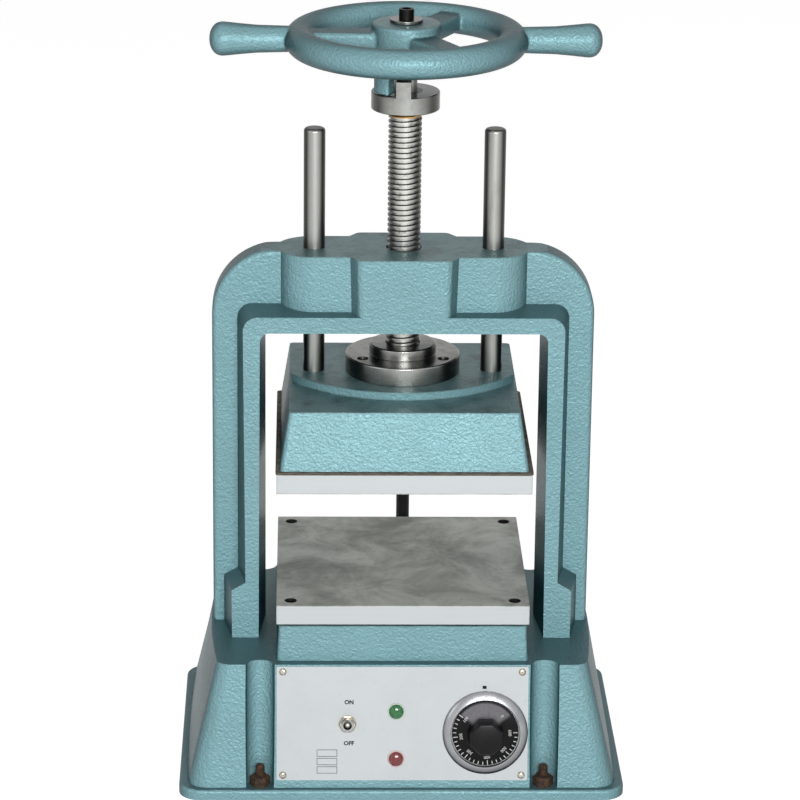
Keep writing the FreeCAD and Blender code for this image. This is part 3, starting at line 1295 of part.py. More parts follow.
def build():
    os.makedirs("parts", exist_ok=True)
    head_gland_z = HEAD_Z + LEAD_HEAD_UP
    pieces = {
        "base_casting": base_casting(),
        "bottom_cover": bottom_cover(),
        "bottom_cover_screws": bottom_cover_screws(),
        "hold_down_studs": hold_down_studs(),
        "hold_down_nuts": hold_down_nuts(),
        "press_frame": press_frame(),
        "frame_bolts": frame_bolts(),
        "screw_nut": screw_nut(),
        "nut_lock_screw": nut_lock_screw(),
        "guide_bushings": guide_bushings(),
        "lower_insulation": insulation(PLINTH_Z, LOWER_BOARD_HALF),
        "lower_platen": platen(LOWER_PLATEN_Z, True),
        "lower_platen_screws": platen_screws(LOWER_FACE_Z, -1),
        "lower_heaters": heaters(LOWER_PLATEN_Z),
        "thermostat_bulb": thermostat_bulb(),
        "upper_head": upper_head(),
        "upper_insulation": insulation(UPPER_PLATEN_TOP, UPPER_BOARD_HALF),
        "upper_platen": platen(UPPER_FACE_Z, False),
        "upper_platen_screws": platen_screws(UPPER_FACE_Z, 1),
        "upper_heaters": heaters(UPPER_FACE_Z),
        "bearing_flange": bearing_flange(),
        "flange_screws": flange_screws(),
        "thrust_washers": thrust_washers(),
        "guide_rods": guide_rods(),
        "lead_screw": lead_screw(),
        "stop_collar": stop_collar(),
        "collar_pin": collar_pin(),
        "hub_washer": hub_washer(),
        "wheel_cap_screw": wheel_cap_screw(),
        "hand_wheel": hand_wheel(),
        "control_panel": control_panel(),
        "panel_screws": panel_screws(),
        "switch_body": switch_body(),
        "switch_nut": switch_nut(),
        "toggle_lever": toggle_lever(),
        "power_lamp_body": lamp_body(POWER_LAMP_V),
        "power_lamp_lens": lamp_lens(POWER_LAMP_V),
        "heat_lamp_body": lamp_body(HEAT_LAMP_V),
        "heat_lamp_lens": lamp_lens(HEAT_LAMP_V),
        "thermostat_body": thermostat_body(),
        "thermostat_shaft": thermostat_shaft(),
        "dial_bezel": dial_bezel(),
        "thermostat_knob": thermostat_knob(),
        "terminal_block": terminal_block(),
        "cord_gland": gland(CORD_GLAND_X, CORD_GLAND_Z,
                            half_depth_at(CORD_GLAND_Z) - BASE_WALL * 0.35, BASE_WALL, CORD_BORE),
        "base_lead_gland": gland(LEAD_X, LEAD_BASE_Z, lead_base_face(), BASE_WALL, LEAD_RADIUS),
        "head_lead_gland": gland(LEAD_X, head_gland_z, lead_head_face(), HEAD_WALL, LEAD_RADIUS),
        "heater_lead": heater_lead(),
    }
    for name, shape in pieces.items():
        print(name, "solids", len(shape.Solids), "valid", shape.isValid(), "volume", round(shape.Volume))
        save(name, shape)


build()
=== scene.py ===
"""Dresses the rubber mold vulcanizer: paint, metals, thread, markings, light and camera."""

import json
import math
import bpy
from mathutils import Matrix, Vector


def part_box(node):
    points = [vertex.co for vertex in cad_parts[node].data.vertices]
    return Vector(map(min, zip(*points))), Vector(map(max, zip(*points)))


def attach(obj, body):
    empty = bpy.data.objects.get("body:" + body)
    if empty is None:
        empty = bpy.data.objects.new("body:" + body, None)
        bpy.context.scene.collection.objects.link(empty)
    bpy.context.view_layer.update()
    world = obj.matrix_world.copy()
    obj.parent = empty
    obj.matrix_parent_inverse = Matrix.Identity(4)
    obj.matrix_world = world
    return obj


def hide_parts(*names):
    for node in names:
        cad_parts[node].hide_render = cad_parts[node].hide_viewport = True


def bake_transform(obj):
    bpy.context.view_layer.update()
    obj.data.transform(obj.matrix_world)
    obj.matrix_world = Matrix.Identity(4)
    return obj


bl_info = {
    "name": "Rubber mold vulcanizer",
    "version": (1, 0, 0),
    "blender": (4, 5, 0),
    "location": "3D View > Sidebar > Vulcanizer",
    "description": "Finishes and fine shapes of a bench vulcanizing press",
    "category": "Object",
}

import bmesh
import bpy
from bpy.props import FloatProperty, FloatVectorProperty, IntProperty, PointerProperty
from mathutils import Matrix, Vector

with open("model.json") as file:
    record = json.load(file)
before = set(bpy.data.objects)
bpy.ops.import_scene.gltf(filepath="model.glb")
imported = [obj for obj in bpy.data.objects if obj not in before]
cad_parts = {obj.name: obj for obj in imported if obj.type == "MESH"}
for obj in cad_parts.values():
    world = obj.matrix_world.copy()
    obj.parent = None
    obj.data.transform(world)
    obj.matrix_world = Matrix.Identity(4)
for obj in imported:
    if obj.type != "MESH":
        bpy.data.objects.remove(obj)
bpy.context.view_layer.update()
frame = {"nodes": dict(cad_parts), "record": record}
RECORD = frame["record"]
BODY_OF = {node: body for body, nodes in RECORD["behaviour"]["bodies"].items() for node in nodes}

MM = 0.001
TAU = 2 * math.pi
WELD = 2e-6
UP = Vector((0, 0, 1))

# Camera as it stood for the photograph, from the fitted perspective
CAMERA_PLACE = (-0.0964, -3.3911, 1.5068)
CAMERA_RIGHT = (0.9996, -0.0241, 0.0110)
CAMERA_UP = (-0.0026, 0.3223, 0.9466)
CAMERA_LENS = 166.6

# Share of the white world that lights the press
FILL_LIGHT = 0.07

# Height of the oval pad over the head's rim, and of the flange's boss over its own, in mm
PAD_STEP = 8.0
FLANGE_STEP = 10.0

# Radius of a platen's corner screw heads, and the room round them in their recesses that the painted
# shade covers, in mm
RECESS_RADIUS = 5.0
RECESS_ROOM = 0.8

# Printed marks: how far they stand off the panel, and how thick they are, in mm
PRINT_LIFT = 0.02
PRINT_THICK = 0.08

# The thread is rubbed brighter than the other steel
THREAD_STEEL = (0.5, 0.5, 0.475)

# The control panel's frame: centre of its face, and its lean from upright
PANEL_CENTRE = (0.0, -140.623, 73.3)
PANEL_LEAN = math.atan2(18.0, 120.0)


def linear(*levels):
    """Scene colour of a picture colour given in steps of 0 to 255."""
    out = []
    for level in levels:
        c = level / 255
        out.append(c / 12.92 if c <= 0.04045 else ((c + 0.055) / 1.055) ** 2.4)
    return tuple(out)


# Shader expressions


class Value:
    """A shader socket in an expression: the operators add Math nodes."""

    def __init__(self, recipe, socket):
        self.recipe = recipe
        self.socket = socket

    def math(self, operation, *others, clamp=False):
        settings = {"operation": operation, "use_clamp": clamp}
        return self.recipe.node("ShaderNodeMath", settings, self, *others)["Value"]

    def __add__(self, other):
        return self.math("ADD", other)

    def __sub__(self, other):
        return self.math("SUBTRACT", other)

    def __rsub__(self, other):
        return self.recipe.node("ShaderNodeMath", {"operation": "SUBTRACT"}, other, self)["Value"]

    def __mul__(self, other):
        return self.math("MULTIPLY", other)

    def __truediv__(self, other):
        return self.math("DIVIDE", other)

    def __pow__(self, other):
        return self.math("POWER", other)

    __radd__ = __add__
    __rmul__ = __mul__

    def clamped(self):
        return self.math("ADD", 0.0, clamp=True)

    def step(self, low, high):
        """0 below low, 1 above high, smooth between."""
        return self.recipe.node("ShaderNodeMapRange", {"interpolation_type": "SMOOTHSTEP"},
                                self, low, high, 0.0, 1.0)["Result"]


class Outputs:
    """The outputs of a node by name, each ready for an expression."""

    def __init__(self, recipe, node):
        self.recipe = recipe
        self.node = node

    def __getitem__(self, name):
        sockets = [s for s in self.node.outputs if s.name == name and s.enabled]
        return Value(self.recipe, sockets[0])


class Recipe:
    """Builds the node tree of one material or of the world."""

    def __init__(self, tree):
        self.tree = tree
        tree.nodes.clear()

    def node(self, kind, settings=None, *values, **named):
        made = self.tree.nodes.new(kind)
        for key, setting in (settings or {}).items():
            setattr(made, key, setting)
        sockets = [s for s in made.inputs if s.enabled]
        for socket, value in zip(sockets, values):
            self.feed(socket, value)
        for name, value in named.items():
            label = name.replace("_", " ")
            self.feed([s for s in sockets if s.name == label][0], value)
        return Outputs(self, made)

    def feed(self, socket, value):
        if value is None:
            return
        if isinstance(value, Value):
            self.tree.links.new(value.socket, socket)
        elif socket.type == "RGBA":
            socket.default_value = (*value[:3], 1.0)
        else:
            socket.default_value = value

    def place(self):
        return self.node("ShaderNodeTexCoord")["Object"]

    def parts(self, vector):
        split = self.node("ShaderNodeSeparateXYZ", {}, vector)
        return split["X"], split["Y"], split["Z"]

    def joined(self, x, y, z):
        return self.node("ShaderNodeCombineXYZ", {}, x, y, z)["Vector"]

    def noise(self, vector, scale, detail=2.0, roughness=0.5, distortion=0.0):
        return self.node("ShaderNodeTexNoise", {}, Vector=vector, Scale=scale, Detail=detail,
                         Roughness=roughness, Distortion=distortion)["Fac"]

    def cells(self, vector, scale, smooth=0.6):
        return self.node("ShaderNodeTexVoronoi", {"feature": "SMOOTH_F1"}, Vector=vector,
                         Scale=scale, Smoothness=smooth)["Distance"]

    def mix(self, factor, first, second):
        settings = {"data_type": "RGBA", "blend_type": "MIX", "clamp_factor": True}
        return self.node("ShaderNodeMix", settings, factor, first, second)["Result"]

    def bump(self, height, distance, strength=1.0, normal=None):
        return self.node("ShaderNodeBump", {}, Strength=strength, Distance=distance,
                         Height=height, Normal=normal)["Normal"]

    def facing(self, normal=None):
        """0 where the surface faces the eye, 1 where it is seen edge on."""
        return self.node("ShaderNodeLayerWeight", {}, Blend=0.5, Normal=normal)["Facing"]

    def stretched(self, x, y, z):
        """Object coordinates stretched by a factor on each axis."""
        return self.node("ShaderNodeVectorMath", {"operation": "MULTIPLY"},
                         self.place(), (x, y, z))["Vector"]


def surface(name):
    """The recipe of a new material and the place of each point; finish it with skin()."""
    material = bpy.data.materials.new(name)
    material.use_nodes = True
    r = Recipe(material.node_tree)
    r.material = material
    return r, r.place()


def skin(r, **sockets):
    """Puts the looks on the surface and hands back its material."""
    shader = r.node("ShaderNodeBsdfPrincipled", {}, **sockets)
    r.node("ShaderNodeOutputMaterial", {}, Surface=shader["BSDF"])
    return r.material


def scaled(colour, share):
    return tuple(c * share for c in colour)


def hammered_paint(name, look, tops=(), stains=0.8):
    """Enamel over sand-cast metal: raised dimples, cloudy colour, painted highlight and painted shade
    on the dimples, painted shade where it is seen edge on, and level faces in darker, greyer painted
    shade with brown stains.

    tops are the heights in metres of the level faces.
    """
    r, at = surface(name)
    x, y, z = r.parts(at)
    grain = 1 / (look.grain * MM)
    swell = r.noise(at, grain, 2.0, 0.5, 0.4)
    dimples = r.cells(at, grain * 0.7, 0.9)
    normal = r.bump(swell * 1.3 - dimples * 0.8, look.depth * MM, 1.0)
    cloud = r.noise(at, 22.0, 3.0, 0.6)
    broad = r.noise(at, 5.0, 2.0)
    # painted highlight and painted shade on the dimples: the colour is lifted where the bumped surface
    # faces the eye more and darkened where it turns away
    dimple_shading = r.facing() - r.facing(normal)
    body = tuple(look.paint)
    colour = r.mix((0.5 + dimple_shading * 4.5).clamped(), scaled(body, 0.74),
                   tuple(min(1.0, c * 1.22) for c in body))
    colour = r.mix(cloud.step(0.35, 0.8) * 0.25, colour, scaled(body, 0.7))
    colour = r.mix(broad.step(0.45, 0.8) * 0.2, colour, tuple(look.dusty))
    # painted shade: the enamel darkens toward its shade colour where it is seen edge on
    colour = r.mix(r.facing().step(0.1, 0.9), colour, tuple(look.shade))
    rough = 0.3 + cloud * 0.1 + swell * 0.08
    # painted shade: level faces are blended into darker, greyer tones, with brown stains
    if tops:
        stain = r.noise(at, 34.0, 5.0, 0.7)
        level_shade = r.mix(stain.step(0.4, 0.7), linear(116, 148, 151), linear(86, 112, 116))
        level_shade = r.mix(stain.step(0.6, 0.76) * stains, level_shade, linear(84, 62, 52))
        level = None
        for height in tops:
            near = 1 - (z - height).math("ABSOLUTE").step(0.0005, 0.0014)
            level = near if level is None else level.math("MAXIMUM", near)
        colour = r.mix(level * 0.85, colour, level_shade)
    return skin(r, Base_Color=colour, Roughness=rough, Metallic=0.2, Specular_IOR_Level=0.15,
                Normal=normal)


def painted_reflection(r, bright, dark, low=0.06, high=0.42):
    """Painted reflection: colour that falls from bright where the surface faces the eye to a darker
    colour toward the sides, as polished round steel shows.
    """
    return r.mix(r.facing().step(low, high), bright, dark)


def turned_steel(name, colour, roughness=0.2, rings=2600.0, stain=0.0, brass=None, tops=(), dark=0.22):
    """Steel off the lathe: rings about the press axis, a painted reflection that turns darker toward
    the sides, blotches, grime, and level faces in dull painted shade with worn patches.

    brass is a pair of heights between which the metal has a warm tint.
    """
    r, at = surface(name)
    x, y, z = r.parts(at)
    radius = (x * x + y * y) ** 0.5
    lines = r.noise(r.joined(radius * rings, z * rings, 0.0), 1.0, 3.0, 0.7)
    blotch = r.noise(at, 45.0, 4.0, 0.6)
    # painted reflection: the colour falls to a darker share of itself toward the sides
    tint = painted_reflection(r, colour, scaled(colour, dark))
    tint = r.mix(blotch.step(0.45, 0.75) * 0.4, tint, scaled(colour, 0.45))
    if stain:
        grime = r.noise(at, 130.0, 5.0, 0.7).step(0.5, 0.7) * stain
        tint = r.mix(grime, tint, linear(58, 52, 46))
    # painted shade: level faces are painted a dull grey, with worn patches
    for height in tops:
        level = 1 - (z - height).math("ABSOLUTE").step(0.0002, 0.0007)
        worn = r.noise(at, 55.0, 5.0, 0.7, 0.5)
        level_steel_shade = r.mix(worn.step(0.35, 0.7), linear(126, 128, 126), linear(84, 80, 74))
        tint = r.mix(level * 0.9, tint, level_steel_shade)
    if brass is not None:
        warm = z.step(brass[0] - 0.001, brass[0]) * (1 - z.step(brass[1], brass[1] + 0.001))
        tint = r.mix(warm, tint, linear(176, 142, 92))
    rough = roughness + lines * 0.1 + blotch * 0.1
    return skin(r, Base_Color=tint, Metallic=1.0, Roughness=rough,
                Normal=r.bump(lines, 0.00003, 0.4))


def rod_steel(name, look):
    """Ground rod: a painted reflection, bright facing the eye and near black toward the sides, long
    fine scratches up its length, and a few tarnished patches.
    """
    r, at = surface(name)
    streak = r.noise(r.stretched(900.0, 900.0, 25.0), 1.0, 3.0, 0.65)
    patch = r.noise(r.stretched(30.0, 30.0, 9.0), 1.0, 4.0, 0.65)
    # painted reflection: linear(58, 58, 55) is the painted darkness at the rod's sides
    tint = painted_reflection(r, tuple(look.steel), linear(58, 58, 55), 0.055, 0.36)
    tint = r.mix(patch.step(0.48, 0.72) * 0.6, tint, linear(84, 76, 66))
    tint = r.mix(streak.step(0.6, 0.8) * 0.4, tint, linear(60, 54, 48))
    rough = 0.26 + streak * 0.12 + patch * 0.12
    return skin(r, Base_Color=tint, Metallic=1.0, Roughness=rough, Normal=r.bump(streak, 0.00002, 0.35))


def brushed_plate(name, look, face_height, face_up, bores):
    """Milled aluminium: bright brushed edges, a greyed working face and painted shade in the screw
    recesses.

    bores holds the recesses' distance from the middle in x, the plate's own middle in y, their
    distance from that, and their radius.
    """
    r, at = surface(name)
    x, y, z = r.parts(at)
    grain = r.noise(r.stretched(18.0, 900.0, 900.0), 1.0, 3.0, 0.6)
    cross = r.noise(r.stretched(700.0, 40.0, 60.0), 1.0, 3.0, 0.6)
    stain = r.noise(at, 16.0, 6.0, 0.68, 0.6)
    spot = r.noise(at, 140.0, 3.0, 0.6)
    if face_up:
        face = z.step(face_height - 0.0012, face_height - 0.0004)
    else:
        face = 1 - z.step(face_height + 0.0004, face_height + 0.0012)
    bright = tuple(look.aluminium)
    edge = r.mix(grain * 0.5, bright, scaled(bright, 0.88))
    worked = r.mix(stain.step(0.32, 0.68), linear(214, 216, 210), linear(150, 152, 146))
    worked = r.mix(spot.step(0.62, 0.72) * 0.3, worked, linear(100, 96, 88))
    colour = r.mix(face, edge, worked)
    bore_x, middle_y, bore_y, reach = bores
    across = x.math("ABSOLUTE") - bore_x
    along = (y - middle_y).math("ABSOLUTE") - bore_y
    away = (across * across + along * along).math("SQRT")
    # painted shade: the screw recesses and a ring round each head are painted near black
    recess_shade = 1 - away.step(reach - 0.0001, reach + 0.0004)
    colour = r.mix(recess_shade, colour, linear(24, 22, 20))
    rough = 0.4 + grain * 0.14 + face * (0.1 + stain * 0.16)
    normal = r.bump(grain + cross * 0.6, 0.00004, 0.5)
    return skin(r, Base_Color=colour, Metallic=0.2, Roughness=rough, Normal=normal)


def satin_sheet(name, colour):
    """Anodised panel sheet: very fine grain, faint smudges."""
    r, at = surface(name)
    grain = r.noise(r.stretched(1600.0, 120.0, 120.0), 1.0, 2.0, 0.5)
    smudge = r.noise(at, 24.0, 4.0, 0.6)
    speck = r.noise(at, 420.0, 2.0, 0.5).step(0.68, 0.74)
    tint = r.mix(smudge.step(0.4, 0.8) * 0.4, colour, scaled(colour, 0.88))
    tint = r.mix(speck * 0.2, tint, linear(130, 130, 128))
    return skin(r, Base_Color=tint, Metallic=0.1, Roughness=0.46 + grain * 0.1 + smudge * 0.08,
                Normal=r.bump(grain, 0.00002, 0.3))


def polished(name, colour, roughness=0.12):
    """Bright plate with fine rubbing marks and a painted reflection that turns near black toward the
    sides.
    """
    r, at = surface(name)
    marks = r.noise(at, 520.0, 4.0, 0.7)
    cloud = r.noise(at, 70.0, 2.0)
    # painted reflection: bright where the plate faces the eye, near black toward the sides
    tint = painted_reflection(r, colour, scaled(colour, 0.14), 0.03, 0.4)
    tint = r.mix(cloud.step(0.4, 0.8) * 0.5, tint, scaled(colour, 0.6))
    return skin(r, Base_Color=tint, Metallic=1.0, Roughness=roughness + marks * 0.12,
                Normal=r.bump(marks, 0.00002, 0.3))


def moulded(name, colour, roughness=0.4, bloom=0.0, grain=900.0):
    """Moulded plastic or rubber with a fine skin; bloom greys it where it is handled."""
    r, at = surface(name)
    fine = r.noise(at, grain, 2.0, 0.6)
    cloud = r.noise(at, 40.0, 4.0, 0.6)
    pale = tuple(c * 1.5 + 0.01 for c in colour)
    tint = r.mix(cloud.step(0.4, 0.75) * (0.3 + bloom), colour, pale)
    return skin(r, Base_Color=tint, Roughness=roughness + fine * 0.1 + cloud * 0.12,
                Specular_IOR_Level=0.2, Normal=r.bump(fine, 0.00004, 0.4))


def dial_black(name, centre, skirt):
    """Black dial, grey and rougher over the upper part of its skirt band."""
    r, at = surface(name)
    x, y, z = r.parts(at)
    across = x - centre[0]
    above = z - centre[2]
    reach = (across * across + above * above) ** 0.5
    band = reach.step(skirt * 0.5, skirt * 0.56) * (1 - reach.step(skirt * 0.9, skirt * 0.96))
    side = (above - across.math("ABSOLUTE") * 0.62) / skirt
    sheen = (band * side.step(0.02, 0.2) * (0.55 + r.noise(at, 260.0, 3.0, 0.6) * 0.6)).clamped()
    fine = r.noise(at, 700.0, 2.0, 0.6)
    tint = r.mix(sheen, linear(8, 8, 10), linear(134, 132, 136))
    return skin(r, Base_Color=tint, Roughness=0.3 + fine * 0.12 + sheen * 0.2, Specular_IOR_Level=0.15,
                Normal=r.bump(fine, 0.00003, 0.35))


def rusted(name):
    """Brown rust over steel, with darker pits and a few rubbed spots."""
    r, at = surface(name)
    patch = r.noise(at, 240.0, 5.0, 0.7)
    pit = r.noise(at, 900.0, 3.0, 0.6)
    tint = r.mix(patch.step(0.35, 0.65), linear(36, 30, 26), linear(92, 66, 46))
    tint = r.mix(pit.step(0.55, 0.7) * 0.6, tint, linear(34, 26, 22))
    return skin(r, Base_Color=tint, Metallic=0.25, Roughness=0.68 + pit * 0.2,
                Normal=r.bump(patch + pit * 0.5, 0.0003, 0.8))


def lens(name, colour, glow):
    """Coloured lamp lens: small facets, each deep in the middle and painted paler toward its edges as
    painted glow, under a clear gloss.
    """
    r, at = surface(name)
    facet = r.cells(at, 700.0, 0.2)
    # painted glow: the paler colour toward each facet's edge stands in for light in the lens
    tint = r.mix(facet.step(0.2, 0.8), colour, glow)
    return skin(r, Base_Color=tint, Roughness=0.16 + facet * 0.08, Coat_Weight=0.6,
                Coat_Roughness=0.05, Normal=r.bump(facet, 0.0002, 0.5))


def board(name):
    """Pressed insulation board: matte, fibrous and browned by heat."""
    r, at = surface(name)
    fibre = r.noise(r.stretched(90.0, 90.0, 900.0), 1.0, 5.0, 0.7)
    tint = r.mix(fibre.step(0.4, 0.7), linear(112, 106, 94), linear(58, 52, 46))
    return skin(r, Base_Color=tint, Roughness=0.8 + fibre * 0.1, Normal=r.bump(fibre, 0.0002, 0.6))


def ink(name, colour):
    """Printed mark, slightly broken up where it has rubbed off."""
    r, at = surface(name)
    rub = r.noise(at, 1500.0, 3.0, 0.6)
    tint = r.mix(rub.step(0.55, 0.85) * 0.4, colour, tuple(c * 0.6 + 0.1 for c in colour))
    return skin(r, Base_Color=tint, Roughness=0.6 + rub * 0.2, Specular_IOR_Level=0.1)


# Shaping


def turn(bm, outline, steps=48, angle=TAU, closed=True):
    """Spins an outline of (radius, height) points, in mm, about Z; hands back its points."""
    before = set(bm.verts)
    verts = [bm.verts.new((r * MM, 0, z * MM)) for r, z in outline]
    ends = verts[1:] + (verts[:1] if closed else [])
    edges = [bm.edges.new(pair) for pair in zip(verts, ends)]
    full = abs(angle - TAU) < 1e-6
    bmesh.ops.spin(bm, geom=verts + edges, cent=(0, 0, 0), axis=UP, dvec=(0, 0, 0),
                   angle=angle, steps=steps, use_merge=full, use_duplicate=False)
    clean(bm)
    return [v for v in bm.verts if v not in before]


def clean(bm):
    bmesh.ops.remove_doubles(bm, verts=bm.verts, dist=WELD)
    loose = [e for e in bm.edges if not e.link_faces]
    bmesh.ops.delete(bm, geom=loose, context="EDGES")
    bmesh.ops.recalc_face_normals(bm, faces=bm.faces)


def edges_of(verts):
    return list({e for v in verts for e in v.link_edges})


def soften(bm, width, segments=2, edges=None, angle=32.0):
    """Rounds edges by a width in mm: the given ones, or all that turn by more than an angle."""
    if edges is None:
        limit = math.radians(angle)
        edges = [e for e in bm.edges if len(e.link_faces) == 2 and e.calc_face_angle(0.0) > limit]
    return bmesh.ops.bevel(bm, geom=edges, offset=width * MM, offset_type="OFFSET", affect="EDGES",
                           segments=segments, profile=0.5, clamp_overlap=True, material=-1)


def level_edges(bm, height):
    """The edges that lie at a height in mm."""
    return [e for e in bm.edges if all(abs(v.co.z - height * MM) < WELD for v in e.verts)]


def prism(bm, sides, flats, low, high, edge=0.0, turn_by=0.5):
    """Upright prism with a number of sides, its size given across the flats, in mm."""
    corner = flats / 2 / math.cos(math.pi / sides) * MM
    made = bmesh.ops.create_circle(bm, cap_ends=True, segments=sides, radius=corner)["verts"]
    spin = Matrix.Rotation(turn_by * TAU / sides, 4, "Z")
    bmesh.ops.transform(bm, matrix=Matrix.Translation((0, 0, low * MM)) @ spin, verts=made)
    faces = list({f for v in made for f in v.link_faces})
    grown = bmesh.ops.extrude_face_region(bm, geom=faces)["geom"]
    raised = [g for g in grown if isinstance(g, bmesh.types.BMVert)]
    bmesh.ops.translate(bm, verts=raised, vec=(0, 0, (high - low) * MM))
    bmesh.ops.recalc_face_normals(bm, faces=bm.faces)
    if edge:
        soften(bm, edge, 1, level_edges(bm, high))


def hex_nut(flats, low, high, edge, bore, facets):
    """Hexagon nut with its bore, in mm."""
    shape = bmesh.new()
    prism(shape, 6, flats, low, high, edge)
    hole = bmesh.new()
    prism(hole, facets, bore, low - 2.0, high + 2.4)
    return carved(shape, hole)


def bar_box(bm, low, high):
    """Closed box between two corners in mm."""
    made = bmesh.ops.create_cube(bm, size=1.0)["verts"]
    middle = (Vector(low) + Vector(high)) / 2 * MM
    size = (Vector(high) - Vector(low)) * MM
    bmesh.ops.scale(bm, vec=size, verts=made)
    bmesh.ops.translate(bm, vec=middle, verts=made)
    return made


def panel_place(u, v, lift=0.0, roll=0.0):
    """Matrix that puts a piece built on X-Y, facing +Z, on the control panel."""
    lean = Matrix.Rotation(math.pi / 2 - PANEL_LEAN, 4, "X")
    centre = Matrix.Translation(Vector(PANEL_CENTRE) * MM)
    spot = Matrix.Translation(Vector((u, v, lift)) * MM)
    return centre @ lean @ spot @ Matrix.Rotation(roll, 4, "Z")


def to_mesh(bm, name):
    mesh = bpy.data.meshes.new(name)
    bm.to_mesh(mesh)
    bm.free()
    return mesh


def linked(name, data):
    """A new object in the scene, from a mesh, curve, lamp or camera."""
    made = bpy.data.objects.new(name, data)
    bpy.context.scene.collection.objects.link(made)
    return made


def to_object(bm, name, material, smooth=35.0, place=None):
    if place is not None:
        bmesh.ops.transform(bm, matrix=place, verts=bm.verts)
    mesh = to_mesh(bm, name)
    mesh.shade_smooth()
    mesh.set_sharp_from_angle(angle=math.radians(smooth))
    mesh.materials.append(material)
    return linked(name, mesh)


def finish(bm, name, material, node, smooth=35.0, place=None, stands_in=True):
    """Makes the object of a new piece and ties it to the body of its CAD node.

    A piece that stands in for its node replaces it; any other is an addition to it.
    """
    made = to_object(bm, name, material, smooth, place)
    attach(made, BODY_OF[node])
    if stands_in:
        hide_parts(node)
    return made


def merged(bm, shape):
    """Adds one bmesh to another."""
    mesh = to_mesh(shape, "merging")
    bm.from_mesh(mesh)
    bpy.data.meshes.remove(mesh)


def applied(made):
    """Bakes a piece's modifiers into its mesh."""
    graph = bpy.context.evaluated_depsgraph_get()
    mesh = bpy.data.meshes.new_from_object(made.evaluated_get(graph))
    made.modifiers.clear()
    old = made.data
    made.data = mesh
    bpy.data.meshes.remove(old)


def carved(bm, cutter):
    """The shape of one bmesh with another cut out of it."""
    objects = [linked("carving", to_mesh(shape, "carving")) for shape in (bm, cutter)]
    cut = objects[0].modifiers.new("cut", "BOOLEAN")
    cut.operation = "DIFFERENCE"
    cut.solver = "EXACT"
    cut.object = objects[1]
    applied(objects[0])
    out = bmesh.new()
    out.from_mesh(objects[0].data)
    for made in objects:
        mesh = made.data
        bpy.data.objects.remove(made)
        bpy.data.meshes.remove(mesh)
    clean(out)
    return out


def cad_shape(node):
    """The node's own shape as a welded bmesh with its flat faces whole."""
    bm = bmesh.new()
    bm.from_mesh(frame["nodes"][node].data)
    bmesh.ops.remove_doubles(bm, verts=bm.verts, dist=WELD)
    bmesh.ops.dissolve_limit(bm, angle_limit=math.radians(0.3), verts=bm.verts, edges=bm.edges)
    return bm


def dress(node, material, edge=0.0, segments=2):
    """A copy of a node with its edges eased by a width in mm, in its own finish."""
    bm = cad_shape(node)
    if edge:
        soften(bm, edge, segments)
    made = finish(bm, node + "_finished", material, node)
    if edge:
        flat = made.modifiers.new("flat_faces", "WEIGHTED_NORMAL")
        flat.keep_sharp = True
        flat.weight = 80


def paint(node, material):
    """Gives a hidden or plain node its finish without touching its shape."""
    piece = frame["nodes"][node]
    piece.data.materials.clear()
    piece.data.materials.append(material)


def lettering(text, size, place, name, material, node, thick=0.08, bold=0.0):
    """Raised print: a word or number as a thin mesh on a node's surface, in mm."""
    curve = bpy.data.curves.new(name, "FONT")
    curve.body = text
    curve.size = size * MM
    curve.align_x = "CENTER"
    curve.align_y = "CENTER"
    curve.extrude = thick / 2 * MM
    curve.offset = bold * MM
    curve.resolution_u = 3
    raw = linked(name + "_curve", curve)
    bpy.context.view_layer.update()
    mesh = bpy.data.meshes.new_from_object(raw)
    bpy.data.objects.remove(raw)
    bm = bmesh.new()
    bm.from_mesh(mesh)
    bpy.data.meshes.remove(mesh)
    bmesh.ops.remove_doubles(bm, verts=bm.verts, dist=WELD)
    finish(bm, name, material, node, 30.0, place, stands_in=False)


# Sizes and colours that a user may change


class CastingLook(bpy.types.PropertyGroup):
    paint: FloatVectorProperty(name="Paint", description="Colour of the enamel", subtype="COLOR",
                               default=linear(136, 179, 186), min=0.0, max=1.0)
    dusty: FloatVectorProperty(name="Dusty paint", description="Enamel where dust has settled",
                               subtype="COLOR", default=linear(134, 166, 170), min=0.0, max=1.0)
    # shade is a painted shade colour: the enamel darkens toward it where it is seen edge on
    shade: FloatVectorProperty(name="Shade", description="Enamel that is seen edge on",
                               subtype="COLOR", default=linear(20, 64, 70), min=0.0, max=1.0)
    grain: FloatProperty(name="Grain", description="Size of the cast dimples in mm",
                         default=2.0, min=0.5, max=10.0)
    depth: FloatProperty(name="Depth", description="Depth of the cast dimples in mm",
                         default=0.42, min=0.0, max=3.0)
    edge: FloatProperty(name="Edge", description="Rounding of the cast edges in mm",
                        default=2.6, min=0.0, max=6.0)


class MetalLook(bpy.types.PropertyGroup):
    steel: FloatVectorProperty(name="Steel", description="Colour of the machined steel",
                               subtype="COLOR", default=linear(152, 153, 149), min=0.0, max=1.0)
    aluminium: FloatVectorProperty(name="Aluminium", description="Colour of the platen edges",
                                   subtype="COLOR", default=linear(214, 219, 221), min=0.0, max=1.0)
    panel: FloatVectorProperty(name="Panel", description="Colour of the control panel",
                               subtype="COLOR", default=linear(214, 219, 221), min=0.0, max=1.0)


class ScrewShape(bpy.types.PropertyGroup):
    crest: FloatProperty(name="Crest radius", description="Outer radius of the thread in mm",
                         default=15.875, min=5.0, max=30.0)
    root: FloatProperty(name="Root radius", description="Radius at the bottom of the thread in mm",
                        default=13.4, min=4.0, max=29.0)
    pitch: FloatProperty(name="Pitch", description="Rise of the thread in one turn, in mm",
                         default=5.08, min=1.0, max=12.0)
    steps: IntProperty(name="Steps", description="Facets in one turn of the thread",
                       default=36, min=8, max=96)


